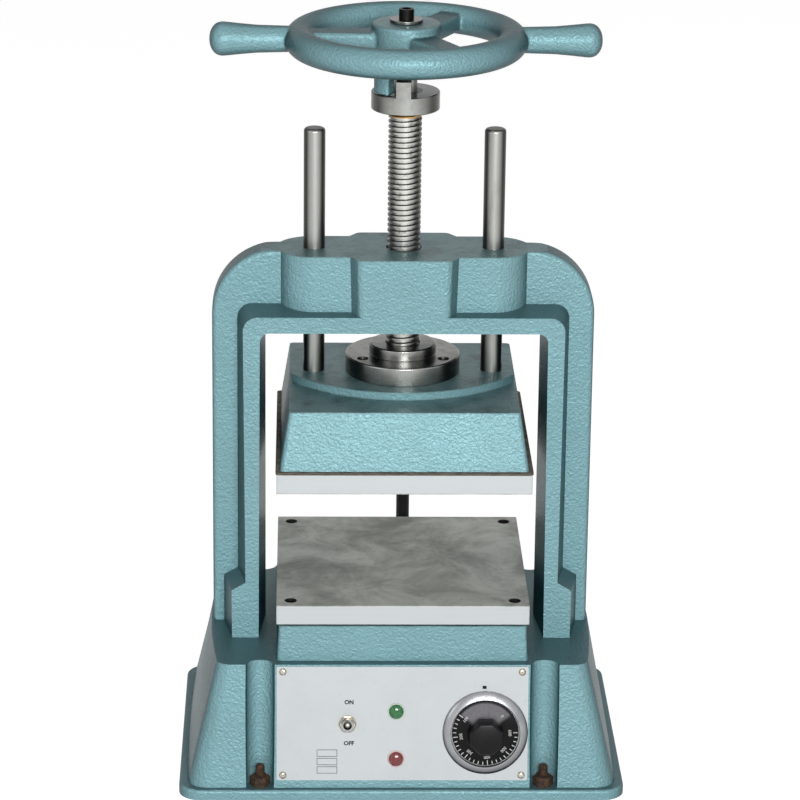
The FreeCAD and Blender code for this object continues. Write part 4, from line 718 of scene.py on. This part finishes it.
class WheelShape(bpy.types.PropertyGroup):
    ring: FloatProperty(name="Ring radius", description="Radius of the rim's centre line in mm",
                        default=100.3, min=40.0, max=200.0)
    tube: FloatProperty(name="Rim radius", description="Radius of the rim's section in mm",
                        default=14.1, min=5.0, max=30.0)
    height: FloatProperty(name="Height", description="Height of the rim's centre in mm",
                          default=709.3, min=100.0, max=1200.0)
    voxel: FloatProperty(name="Blend size", default=1.25, min=0.8, max=4.0,
                         description="Cell size that melts the spokes into the rim, in mm")


class Vulcanizer(bpy.types.PropertyGroup):
    casting: PointerProperty(type=CastingLook)
    metal: PointerProperty(type=MetalLook)
    screw: PointerProperty(type=ScrewShape)
    wheel: PointerProperty(type=WheelShape)


def choices(context):
    return context.scene.vulcanizer


def heights(node):
    """Lowest and highest level of a node, in mm."""
    low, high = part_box(node)
    return low.z / MM, high.z / MM


def metal(name):
    """The finishes that several operators share, made once and then found by name."""
    found = bpy.data.materials.get(name)
    if found:
        return found
    look = choices(bpy.context).metal
    makers = {
        "blackened_screw": lambda: polished(name, linear(40, 39, 39), 0.4),
        "turned_bronze": lambda: turned_steel(name, linear(188, 152, 92), 0.26),
        "plain_sheet": lambda: polished(name, linear(150, 152, 154), 0.3),
        "bright_nickel": lambda: polished(name, linear(186, 180, 164), 0.16),
        "turned_collar": lambda: turned_steel(name, tuple(look.steel), 0.16, 2600.0, 0.25),
        "black_nylon": lambda: moulded(name, linear(30, 30, 32), 0.45),
        "black_ink": lambda: ink(name, linear(26, 26, 26)),
    }
    return makers[name]()


# Operators


class VULC_OT_castings(bpy.types.Operator):
    """Paints the base, the press frame and the upper head, and eases their cast edges"""

    bl_idname = "vulcanizer.castings"
    bl_label = "Castings"

    def execute(self, context):
        look = choices(context).casting
        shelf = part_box("lower_insulation")[0].z
        frame_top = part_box("press_frame")[1].z
        pad_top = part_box("upper_head")[1].z
        tops = {
            "base_casting": (shelf,),
            "press_frame": (frame_top,),
            "upper_head": (pad_top, pad_top - PAD_STEP * MM),
        }
        for node, levels in tops.items():
            enamel = hammered_paint(node + "_enamel", look, levels)
            dress(node, enamel, look.edge, 3)
        dress("bottom_cover", metal("plain_sheet"), 0.3)
        for node in ("bottom_cover_screws", "frame_bolts"):
            paint(node, metal("blackened_screw"))
        return {"FINISHED"}


class VULC_OT_hand_wheel(bpy.types.Operator):
    """Models the cast hand wheel with its spokes, hub, lug and two handles as one casting"""

    bl_idname = "vulcanizer.hand_wheel"
    bl_label = "Hand wheel"

    hub_radius = 32.5
    hub_bore = 11.1
    hub_low = 678.1
    hub_top = 726.0
    hub_edge = 1.5
    lug_inner = 20.2
    lug_outer = 32.4
    lug_low = 661.2
    lug_high = 680.0
    lug_start = 199.3
    lug_arc = 38.4
    spoke_root = 22.0
    spoke_half_width = 12.0
    spoke_half_height = 8.5
    spoke_flare = 1.27
    spoke_edge = 3.4
    melt_rounds = 8

    def execute(self, context):
        own = choices(context)
        shape = own.wheel
        bm = bmesh.new()
        self.ring(bm, shape)
        turn(bm, ((self.hub_bore, self.hub_low), (self.hub_radius, self.hub_low),
                  (self.hub_radius, self.hub_top - self.hub_edge),
                  (self.hub_radius - self.hub_edge, self.hub_top), (self.hub_bore, self.hub_top)), 64)
        self.lug(bm)
        for side in (1, -1):
            self.handle(bm, shape, side)
        for i in range(3):
            self.spoke(bm, shape, math.pi + i * TAU / 3)
        enamel = hammered_paint("wheel_enamel", own.casting, (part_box("hand_wheel")[1].z,), 0.3)
        made = finish(bm, "hand_wheel_finished", enamel, "hand_wheel")
        melt = made.modifiers.new("melt", "REMESH")
        melt.mode = "VOXEL"
        melt.voxel_size = shape.voxel * MM
        melt.use_smooth_shade = True
        ease = made.modifiers.new("ease", "SMOOTH")
        ease.factor = 0.5
        ease.iterations = self.melt_rounds
        applied(made)
        return {"FINISHED"}

    def ring(self, bm, shape):
        made = bmesh.ops.create_circle(bm, cap_ends=False, segments=32,
                                       radius=shape.tube * MM)["verts"]
        stand = Matrix.Translation(Vector((shape.ring, 0, shape.height)) * MM)
        bmesh.ops.transform(bm, matrix=stand @ Matrix.Rotation(math.pi / 2, 4, "X"), verts=made)
        bmesh.ops.spin(bm, geom=made + edges_of(made), cent=(0, 0, 0), axis=UP, dvec=(0, 0, 0),
                       angle=TAU, steps=144, use_merge=True, use_duplicate=False)
        clean(bm)

    def spoke(self, bm, shape, heading):
        low = shape.height - self.spoke_half_height
        high = shape.height + self.spoke_half_height
        half = self.spoke_half_width
        made = bar_box(bm, (self.spoke_root, -half, low), (shape.ring, half, high))
        middle = (self.spoke_root + shape.ring) / 2 * MM
        wide = [v for v in made if v.co.x < middle]
        bmesh.ops.scale(bm, vec=(1.0, self.spoke_flare, 1.0), verts=wide)
        along = [e for e in edges_of(made) if abs((e.verts[0].co - e.verts[1].co).x) > 50 * MM]
        rounded = soften(bm, self.spoke_edge, 3, along)
        body = {v for f in rounded["faces"] for v in f.verts} | {v for v in made if v.is_valid}
        bmesh.ops.rotate(bm, cent=(0, 0, 0), matrix=Matrix.Rotation(heading, 3, "Z"),
                         verts=list(body))

    def lug(self, bm):
        outline = ((self.lug_inner, self.lug_low), (self.lug_outer, self.lug_low),
                   (self.lug_outer, self.lug_high), (self.lug_inner, self.lug_high))
        made = turn(bm, outline, 12, math.radians(self.lug_arc))
        rims = [e for e in bm.edges if e.is_boundary and e.verts[0] in made]
        bmesh.ops.holes_fill(bm, edges=rims, sides=8)
        heading = Matrix.Rotation(math.radians(self.lug_start), 3, "Z")
        bmesh.ops.rotate(bm, cent=(0, 0, 0), matrix=heading, verts=made)

    def handle(self, bm, shape, side):
        outline = [(0, 92.0), (12.6, 92.0), (12.4, shape.ring + 10), (13.2, 140.0), (14.8, 158.0),
                   (15.9, 168.0), (16.2, 172.5), (15.6, 176.0), (14.0, 178.9), (11.4, 181.3),
                   (7.8, 183.3), (4.0, 184.2), (0, 184.5)]
        made = turn(bm, outline, 40, closed=False)
        lay = Matrix.Rotation(side * math.pi / 2, 4, "Y")
        lift = Matrix.Translation((0, 0, shape.height * MM))
        bmesh.ops.transform(bm, matrix=lift @ lay, verts=made)


class VULC_OT_press_screw(bpy.types.Operator):
    """Cuts the thread of the press screw and finishes the collar, pin, washer and cap screw"""

    bl_idname = "vulcanizer.press_screw"
    bl_label = "Press screw"

    foot_radius = 24.0
    foot_top = 380.0
    neck_radius = 13.0
    neck_top = 385.5
    thread_low = 384.4
    shoulder_radius = 15.6
    spigot_radius = 11.0
    collar_height = 17.0

    def execute(self, context):
        own = choices(context)
        low, high = heights("lead_screw")
        collar = heights("stop_collar")[0]
        bm = self.thread(own.screw, self.thread_low, collar - 1.2)
        turn(bm, ((0, low), (self.foot_radius, low), (self.foot_radius, self.foot_top),
                  (self.neck_radius, self.foot_top), (self.neck_radius, self.neck_top),
                  (0, self.neck_top)), closed=False)
        turn(bm, ((0, collar - 2.5), (self.shoulder_radius - 1.0, collar - 2.5),
                  (self.shoulder_radius, collar), (self.shoulder_radius, collar + self.collar_height),
                  (self.spigot_radius, collar + self.collar_height + 0.1),
                  (self.spigot_radius, high), (0, high)), closed=False)
        steel = turned_steel("thread_steel", THREAD_STEEL, 0.3, 2200.0, 0.6, dark=0.3,
                             brass=((collar - 6.0) * MM, collar * MM))
        finish(bm, "press_screw_thread", steel, "lead_screw", 40.0)
        for node, edge in (("stop_collar", 0.6), ("hub_washer", 0.4), ("collar_pin", 0.4)):
            dress(node, metal("turned_collar"), edge)
        dress("wheel_cap_screw", metal("blackened_screw"), 0.25)
        return {"FINISHED"}

    def thread(self, shape, low, high):
        """A screw thread swept up the press axis and cut off flat at both heights."""
        bm = bmesh.new()
        rise = shape.pitch
        start = low - rise * 1.5
        turns = math.ceil((high - low) / rise) + 3
        outline = ((shape.root, 0.0), (shape.root, 0.19), (shape.crest, 0.32),
                   (shape.crest, 0.68), (shape.root, 0.81), (shape.root, 1.0))
        verts = [bm.verts.new((r * MM, 0, (start + share * rise) * MM)) for r, share in outline]
        edges = [bm.edges.new(pair) for pair in zip(verts, verts[1:])]
        bmesh.ops.spin(bm, geom=verts + edges, cent=(0, 0, 0), axis=UP,
                       dvec=(0, 0, rise / shape.steps * MM), angle=TAU * turns,
                       steps=shape.steps * turns, use_merge=False, use_duplicate=False)
        bmesh.ops.remove_doubles(bm, verts=bm.verts, dist=WELD)
        for height, facing in ((low, -1), (high, 1)):
            everything = bm.verts[:] + bm.edges[:] + bm.faces[:]
            bmesh.ops.bisect_plane(bm, geom=everything, dist=1e-7, plane_co=(0, 0, height * MM),
                                   plane_no=(0, 0, facing), clear_outer=True)
            rim = [e for e in level_edges(bm, height) if e.is_boundary]
            bmesh.ops.holes_fill(bm, edges=rim, sides=0)
        bmesh.ops.recalc_face_normals(bm, faces=bm.faces)
        return bm


class VULC_OT_guides(bpy.types.Operator):
    """Finishes the guide rods, the bearing flange and the bushes and screws around them"""

    bl_idname = "vulcanizer.guides"
    bl_label = "Guides and bearing"

    def execute(self, context):
        look = choices(context).metal
        dress("guide_rods", rod_steel("ground_rod", look))
        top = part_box("bearing_flange")[1].z
        flange = turned_steel("turned_flange", tuple(look.steel), 0.17, 2400.0, 0.15,
                              tops=(top, top - FLANGE_STEP * MM))
        dress("bearing_flange", flange, 0.5)
        dress("flange_screws", metal("blackened_screw"), 0.3)
        for node in ("screw_nut", "guide_bushings", "thrust_washers"):
            paint(node, metal("turned_bronze"))
        paint("nut_lock_screw", metal("blackened_screw"))
        return {"FINISHED"}


class VULC_OT_platens(bpy.types.Operator):
    """Finishes both platens with their insulation, screws, heaters and sensing bulb"""

    bl_idname = "vulcanizer.platens"
    bl_label = "Platens"

    def execute(self, context):
        look = choices(context).metal
        for side, face_up in (("lower", True), ("upper", False)):
            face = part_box(side + "_platen")[face_up].z
            bores = self.recesses(side + "_platen_screws")
            plate = brushed_plate(side + "_face", look, face, face_up, bores)
            dress(side + "_platen", plate, 0.5)
        pressed = board("pressed_board")
        for node in ("lower_insulation", "upper_insulation"):
            dress(node, pressed, 0.2)
        for node in ("lower_platen_screws", "upper_platen_screws"):
            dress(node, metal("blackened_screw"), 0.3)
        for node in ("lower_heaters", "upper_heaters"):
            paint(node, metal("plain_sheet"))
        paint("thermostat_bulb", metal("turned_bronze"))
        return {"FINISHED"}

    def recesses(self, node):
        """Where a platen's corner recesses stand, from the heads of its screws."""
        low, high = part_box(node)
        head = RECESS_RADIUS * MM
        middle = (low.y + high.y) / 2
        return high.x - head, middle, high.y - middle - head, head + RECESS_ROOM * MM


class VULC_OT_panel(bpy.types.Operator):
    """Finishes the control panel sheet with its slotted screws and printed marks"""

    bl_idname = "vulcanizer.panel"
    bl_label = "Control panel"

    def execute(self, context):
        look = choices(context).metal
        dress("control_panel", satin_sheet("satin_panel", tuple(look.panel)), 0.35)
        self.screws()
        for text, v in (("ON", 21.0), ("OFF", -19.5)):
            lettering(text, 5.6, panel_place(-51.0, v, PRINT_LIFT), "print_" + text.lower(),
                      metal("black_ink"), "control_panel", bold=0.2)
        self.boxes()
        mark = bmesh.new()
        bar_box(mark, (-1.9, -1.5, 0.0), (1.9, 1.5, PRINT_THICK))
        finish(mark, "print_pointer", metal("black_ink"), "control_panel", 30.0,
               panel_place(78.3, 35.9, PRINT_LIFT), stands_in=False)
        return {"FINISHED"}

    def screws(self):
        whole = bmesh.new()
        corners = [(side * 114.2, end * 50.9) for side in (-1, 1) for end in (-1, 1)]
        for i, (u, v) in enumerate(corners):
            head = bmesh.new()
            turn(head, ((0, -6.9), (1.8, -6.9), (1.8, 0.0), (3.4, 0.0), (3.35, 0.5), (2.9, 1.1),
                        (1.9, 1.5), (0, 1.6)), 32, closed=False)
            slot_cut = bmesh.new()
            bar_box(slot_cut, (-4.0, -0.35, 0.85), (4.0, 0.35, 2.5))
            head = carved(head, slot_cut)
            bmesh.ops.transform(head, matrix=panel_place(u, v, 0.0, 0.6 + i * 1.1), verts=head.verts)
            merged(whole, head)
        finish(whole, "panel_screws_slotted", metal("bright_nickel"), "panel_screws")

    def boxes(self):
        """Three blank rating boxes in thin printed lines."""
        bm = bmesh.new()
        left, right, line = -81.7, -62.2, 0.45
        first, spacing, tall = -25.6, 8.35, 6.9
        for i in range(3):
            top = first - i * spacing
            low = top - tall
            for start, end in (((left, top - line), (right, top)),
                               ((left, low), (right, low + line)),
                               ((left, low + line), (left + line, top - line)),
                               ((right - line, low + line), (right, top - line))):
                bar_box(bm, (*start, 0.0), (*end, PRINT_THICK))
        finish(bm, "print_boxes", metal("black_ink"), "control_panel", 30.0,
               panel_place(0, 0, PRINT_LIFT), stands_in=False)


class VULC_OT_toggle(bpy.types.Operator):
    """Models the toggle switch: threaded bush, hexagon nut, ring and bat lever"""

    bl_idname = "vulcanizer.toggle"
    bl_label = "Toggle switch"

    centre = (-52.5, -0.3)

    def execute(self, context):
        nickel = metal("bright_nickel")
        dress("switch_body", metal("plain_sheet"), 0.25)
        nut = hex_nut(14.3, 1.0, 3.6, 0.5, 11.9, 36)
        turn(nut, ((5.95, 0.0), (8.4, 0.0), (8.4, 0.8), (8.2, 1.0), (5.95, 1.0)))
        finish(nut, "switch_nut_finished", nickel, "switch_nut", 30.0, panel_place(*self.centre))
        self.lever(nickel)
        return {"FINISHED"}

    def lever(self, nickel):
        bm = bmesh.new()
        outline = [(0, -3.4), (1.7, -2.95), (2.95, -1.7), (3.4, 0.0), (2.95, 1.7), (1.85, 2.8),
                   (1.8, 4.0), (2.0, 7.0), (2.5, 11.5), (2.9, 13.6), (2.85, 15.0), (2.2, 16.3),
                   (1.2, 16.9), (0, 17.0)]
        turn(bm, outline, 32, closed=False)
        tilt = Matrix.Rotation(math.radians(-12.0), 4, "X")
        place = panel_place(*self.centre, 1.0) @ tilt
        finish(bm, "toggle_lever_finished", nickel, "toggle_lever", 60.0, place)


class VULC_OT_lamps(bpy.types.Operator):
    """Models the two indicator lamps with their domed lenses"""

    bl_idname = "vulcanizer.lamps"
    bl_label = "Indicator lamps"

    def execute(self, context):
        # each lamp: its name, its place on the panel, the deep lens colour, the paler lens colour
        # painted as painted glow, and the colour of its body
        lamps = (("power_lamp", 12.1, linear(0, 72, 26), linear(8, 128, 52), linear(206, 222, 208)),
                 ("heat_lamp", -34.6, linear(84, 6, 10), linear(150, 24, 28), linear(226, 206, 202)))
        for name, v, deep, bright, pale in lamps:
            rim = moulded(name + "_rim", pale, 0.4, 0.0, 600.0)
            dress(name + "_body", rim, 0.25)
            dome = bmesh.new()
            turn(dome, ((0, 0.7), (6.9, 0.7), (6.9, 1.6), (6.7, 2.5), (6.0, 3.5), (4.7, 4.3),
                        (2.6, 4.9), (0, 5.15)), 48, closed=False)
            glass = lens(name + "_glass", deep, bright)
            finish(dome, name + "_lens_finished", glass, name + "_lens", 60.0, panel_place(-5.9, v))
        return {"FINISHED"}


class VULC_OT_dial(bpy.types.Operator):
    """Models the thermostat dial: polished bezel, black skirt with white scale, and grip"""

    bl_idname = "vulcanizer.dial"
    bl_label = "Thermostat dial"

    centre = (79.4, -8.6)

    def execute(self, context):
        white = ink("scale_ink", linear(236, 236, 232))
        bezel = bmesh.new()
        turn(bezel, ((32.9, 0.0), (40.8, 0.0), (40.8, 1.2), (40.0, 2.2), (37.6, 3.6), (35.4, 4.4),
                     (34.0, 4.9), (33.3, 5.0), (32.9, 4.6)), 96)
        rim = polished("polished_bezel", linear(160, 161, 164), 0.2)
        finish(bezel, "dial_bezel_finished", rim, "dial_bezel", 28.0, panel_place(*self.centre))
        self.notch(white)
        self.knob()
        self.scale(white)
        for node in ("thermostat_body", "thermostat_shaft"):
            paint(node, metal("plain_sheet"))
        return {"FINISHED"}

    def notch(self, white):
        """Pointer on the bezel, over the top of the dial."""
        bm = bmesh.new()
        prism(bm, 3, 2.0, 0.0, 0.25, turn_by=-0.75)
        u, v = self.centre
        finish(bm, "dial_pointer", white, "dial_bezel", 30.0, panel_place(u, v + 36.6, 4.0),
               stands_in=False)

    def knob(self):
        bm = bmesh.new()
        turn(bm, ((0, 1.2), (31.6, 1.2), (31.9, 1.6), (31.9, 2.4), (31.5, 2.9), (21.2, 4.2),
                  (19.0, 5.0), (17.4, 6.4), (16.6, 8.8), (0, 8.8)), 96, closed=False)
        place = panel_place(*self.centre)
        black = dial_black("dial_black", place.translation, 31.9 * MM)
        finish(bm, "dial_skirt", black, "thermostat_knob", 30.0, place)
        low, high = 8.0, 26.9
        grip = bmesh.new()
        prism(grip, 8, 30.4, low, high)
        soften(grip, 2.2, 3, level_edges(grip, high))
        soften(grip, 0.8, angle=30.0)
        for vert in grip.verts:
            share = (vert.co.z / MM - low) / (high - low)
            vert.co.xy *= 1.06 - 0.06 * share
        finish(grip, "dial_grip", moulded("grip_black", linear(7, 7, 9), 0.2), "thermostat_knob",
               25.0, place, stands_in=False)

    def scale(self, white):
        """White ticks and plain numbers round the skirt."""
        ticks = bmesh.new()
        first, spacing, between = 144.0, 43.5, 5
        for i in range(5 * between + 1):
            long = i % between == 0
            heading = math.radians(first + i * spacing / between)
            made = bar_box(ticks, (26.6 if long else 28.0, -0.36, 3.02), (31.0, 0.36, 3.5))
            inner = [v for v in made if v.co.x < 30 * MM]
            bmesh.ops.translate(ticks, verts=inner, vec=(0, 0, 0.42 * MM))
            bmesh.ops.rotate(ticks, cent=(0, 0, 0), matrix=Matrix.Rotation(heading, 3, "Z"),
                             verts=made)
        finish(ticks, "dial_ticks", white, "thermostat_knob", 30.0, panel_place(*self.centre),
               stands_in=False)
        u, v = self.centre
        marks = [(str(100 + 100 * i), first + i * spacing) for i in range(6)]
        marks.append(("0", 47.0))
        for text, heading in marks:
            angle = math.radians(heading)
            out = 23.4
            across = u + out * math.cos(angle)
            up = v + out * math.sin(angle)
            lettering(text, 4.2, panel_place(across, up, 4.02, angle - math.pi / 2),
                      "dial_mark_" + text, white, "thermostat_knob", 0.2)


class VULC_OT_lead(bpy.types.Operator):
    """Models the heater lead behind the press, with its glands and terminals"""

    bl_idname = "vulcanizer.lead"
    bl_label = "Heater lead"

    def execute(self, context):
        sheath = moulded("rubber_sheath", linear(26, 26, 27), 0.5, 0.1, 500.0)
        low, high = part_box("heater_lead")
        radius = (high.x - low.x) / 2
        across = (high.x + low.x) / 2
        back = high.y - radius
        top_z = high.z - radius
        low_z = low.z + radius
        head_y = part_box("head_lead_gland")[1][1] + 0.3 * MM
        base_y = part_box("base_lead_gland")[1][1] + 0.3 * MM
        bm = bmesh.new()
        ring = bmesh.ops.create_circle(bm, cap_ends=False, segments=24, radius=radius)["verts"]
        stand = Matrix.Translation((across, head_y, top_z)) @ Matrix.Rotation(math.pi / 2, 4, "X")
        bmesh.ops.transform(bm, matrix=stand, verts=ring)
        bend = back - head_y
        bent = bmesh.ops.spin(bm, geom=ring + edges_of(ring), cent=(across, head_y, top_z - bend),
                              axis=(1, 0, 0), dvec=(0, 0, 0), angle=-math.pi / 2, steps=12,
                              use_merge=False)
        last = bent["geom_last"]
        foot = back - base_y
        drop = (top_z - bend) - (low_z + foot)
        pieces = 24
        for _ in range(pieces):
            rim = [g for g in last if isinstance(g, bmesh.types.BMEdge)]
            last = bmesh.ops.extrude_edge_only(bm, edges=rim)["geom"]
            moved = [g for g in last if isinstance(g, bmesh.types.BMVert)]
            bmesh.ops.translate(bm, verts=moved, vec=(0, 0, -drop / pieces))
        rim = [g for g in last if isinstance(g, (bmesh.types.BMEdge, bmesh.types.BMVert))]
        bmesh.ops.spin(bm, geom=rim, cent=(across, base_y, low_z + foot), axis=(1, 0, 0),
                       dvec=(0, 0, 0), angle=-math.pi / 2, steps=12, use_merge=False)
        clean(bm)
        open_rims = [e for e in bm.edges if e.is_boundary]
        bmesh.ops.holes_fill(bm, edges=open_rims, sides=0)
        bmesh.ops.recalc_face_normals(bm, faces=bm.faces)
        made = to_object(bm, "heater_lead_sheath", sheath, 60.0)
        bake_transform(made)
        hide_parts("heater_lead")
        for node in ("cord_gland", "base_lead_gland", "head_lead_gland"):
            dress(node, metal("black_nylon"), 0.5)
        paint("terminal_block", metal("black_nylon"))
        return {"FINISHED"}


class VULC_OT_fixings(bpy.types.Operator):
    """Models the rusted bench studs and their nuts in the front flutes"""

    bl_idname = "vulcanizer.fixings"
    bl_label = "Bench fixings"

    def execute(self, context):
        brown = rusted("brown_rust")
        studs = bmesh.new()
        nuts = bmesh.new()
        for side in (-1, 1):
            spot = Vector((side * 136.0, -140.5, 0)) * MM
            self.stud(studs, spot)
            self.nut(nuts, spot)
        finish(studs, "stud_threads", brown, "hold_down_studs", 40.0)
        finish(nuts, "stud_nuts", brown, "hold_down_nuts", 30.0)
        return {"FINISHED"}

    def stud(self, bm, spot):
        outline = [(0, 0.5), (4.0, 0.5)]
        pitch = 1.25
        height = 1.0
        while height < 29.5:
            outline += [(4.4, height + 0.3), (3.75, height + 0.9)]
            height += pitch
        outline += [(3.6, 30.6), (2.8, 31.0), (0, 31.0)]
        bmesh.ops.translate(bm, verts=turn(bm, outline, 20, closed=False), vec=spot)

    def nut(self, bm, spot):
        shape = hex_nut(17.0, 10.0, 19.5, 1.2, 8.9, 24)
        bmesh.ops.translate(shape, verts=shape.verts, vec=spot)
        merged(bm, shape)


class VULC_OT_stage(bpy.types.Operator):
    """Sets the floor, the soft lamps, the world and the camera"""

    bl_idname = "vulcanizer.stage"
    bl_label = "Stage"

    def execute(self, context):
        self.floor()
        self.world(context.scene)
        self.lamp("front_softbox", (0.25, -3.3, 1.45), (0.0, 0.0, 0.38), (1.3, 0.9), 80.0)
        self.lamp("left_softbox", (-2.2, -1.6, 1.3), (0.0, 0.0, 0.4), (0.9, 1.4), 5.0)
        self.lamp("overhead", (0.0, 0.3, 2.4), (0.0, 0.0, 0.3), (1.4, 1.0), 3.0)
        self.camera(context.scene)
        context.scene.view_settings.view_transform = "Standard"
        return {"FINISHED"}

    def in_view(self, r):
        """1 for what the eye sees directly, in metal or through glass, 0 for light on the press."""
        path = r.node("ShaderNodeLightPath")
        direct = path["Is Camera Ray"] + path["Is Glossy Ray"]
        return (direct + path["Is Transmission Ray"]).clamped()

    def floor(self):
        """Pale floor, white where the eye looks, with the shadow of the press kept."""
        bm = bmesh.new()
        bmesh.ops.create_grid(bm, x_segments=1, y_segments=1, size=9.0)
        r, at = surface("pale_floor")
        soft = r.noise(at, 3.0, 2.0)
        tint = r.mix(soft * 0.3, (0.62, 0.62, 0.62), (0.6, 0.6, 0.6))
        diffuse = r.node("ShaderNodeBsdfDiffuse", {}, Color=tint)["BSDF"]
        white = r.node("ShaderNodeEmission", {}, Color=(1.0, 1.0, 1.0), Strength=0.92)["Emission"]
        lit = r.node("ShaderNodeAddShader", {}, diffuse, white)["Shader"]
        seen = self.in_view(r)
        shader = r.node("ShaderNodeMixShader", {}, seen, diffuse, lit)["Shader"]
        r.node("ShaderNodeOutputMaterial", {}, Surface=shader)
        to_object(bm, "bench_floor", r.material)

    def world(self, scene):
        """Plain white where the eye, metal and glass look; a dim even fill for the rest."""
        world = bpy.data.worlds.new("studio")
        scene.world = world
        world.use_nodes = True
        r = Recipe(world.node_tree)
        seen = self.in_view(r)
        strength = FILL_LIGHT + seen * (1 - FILL_LIGHT)
        back = r.node("ShaderNodeBackground", {}, Color=(1.0, 1.0, 1.0), Strength=strength)
        r.node("ShaderNodeOutputWorld", {}, Surface=back["Background"])

    def lamp(self, name, place, target, size, power):
        light = bpy.data.lights.new(name, "AREA")
        light.shape = "RECTANGLE"
        light.size, light.size_y = size
        light.energy = power
        made = linked(name, light)
        made.location = place
        made.rotation_euler = (Vector(target) - Vector(place)).to_track_quat("-Z", "Y").to_euler()

    def camera(self, scene):
        lens_data = bpy.data.cameras.new("camera")
        lens_data.lens = CAMERA_LENS
        lens_data.clip_end = 60.0
        right = Vector(CAMERA_RIGHT).normalized()
        up = Vector(CAMERA_UP)
        back = right.cross(up).normalized()
        up = back.cross(right)
        turned = Matrix((right, up, back)).transposed()
        made = linked("camera", lens_data)
        made.matrix_world = Matrix.Translation(CAMERA_PLACE) @ turned.to_4x4()
        scene.camera = made


OPERATORS = (VULC_OT_castings, VULC_OT_hand_wheel, VULC_OT_press_screw, VULC_OT_guides, VULC_OT_platens,
             VULC_OT_panel, VULC_OT_toggle, VULC_OT_lamps, VULC_OT_dial, VULC_OT_lead, VULC_OT_fixings,
             VULC_OT_stage)


class VULC_PT_sidebar(bpy.types.Panel):
    """Lists the steps that dress the vulcanizer"""

    bl_idname = "VULC_PT_sidebar"
    bl_label = "Vulcanizer"
    bl_space_type = "VIEW_3D"
    bl_region_type = "UI"
    bl_category = "Vulcanizer"

    def draw(self, context):
        own = choices(context)
        for group in (own.casting, own.metal, own.screw, own.wheel):
            for key in group.bl_rna.properties.keys():
                if key not in {"rna_type", "name"}:
                    self.layout.prop(group, key)
        for kind in OPERATORS:
            self.layout.operator(kind.bl_idname)


CLASSES = (CastingLook, MetalLook, ScrewShape, WheelShape, Vulcanizer) + OPERATORS + (VULC_PT_sidebar,)


def register():
    for kind in CLASSES:
        bpy.utils.register_class(kind)
    bpy.types.Scene.vulcanizer = PointerProperty(type=Vulcanizer)


def unregister():
    del bpy.types.Scene.vulcanizer
    for kind in reversed(CLASSES):
        bpy.utils.unregister_class(kind)


def main():
    register()
    for kind in OPERATORS:
        group, step = kind.bl_idname.split(".")
        getattr(getattr(bpy.ops, group), step)()


if __name__ == "__main__":
    main()
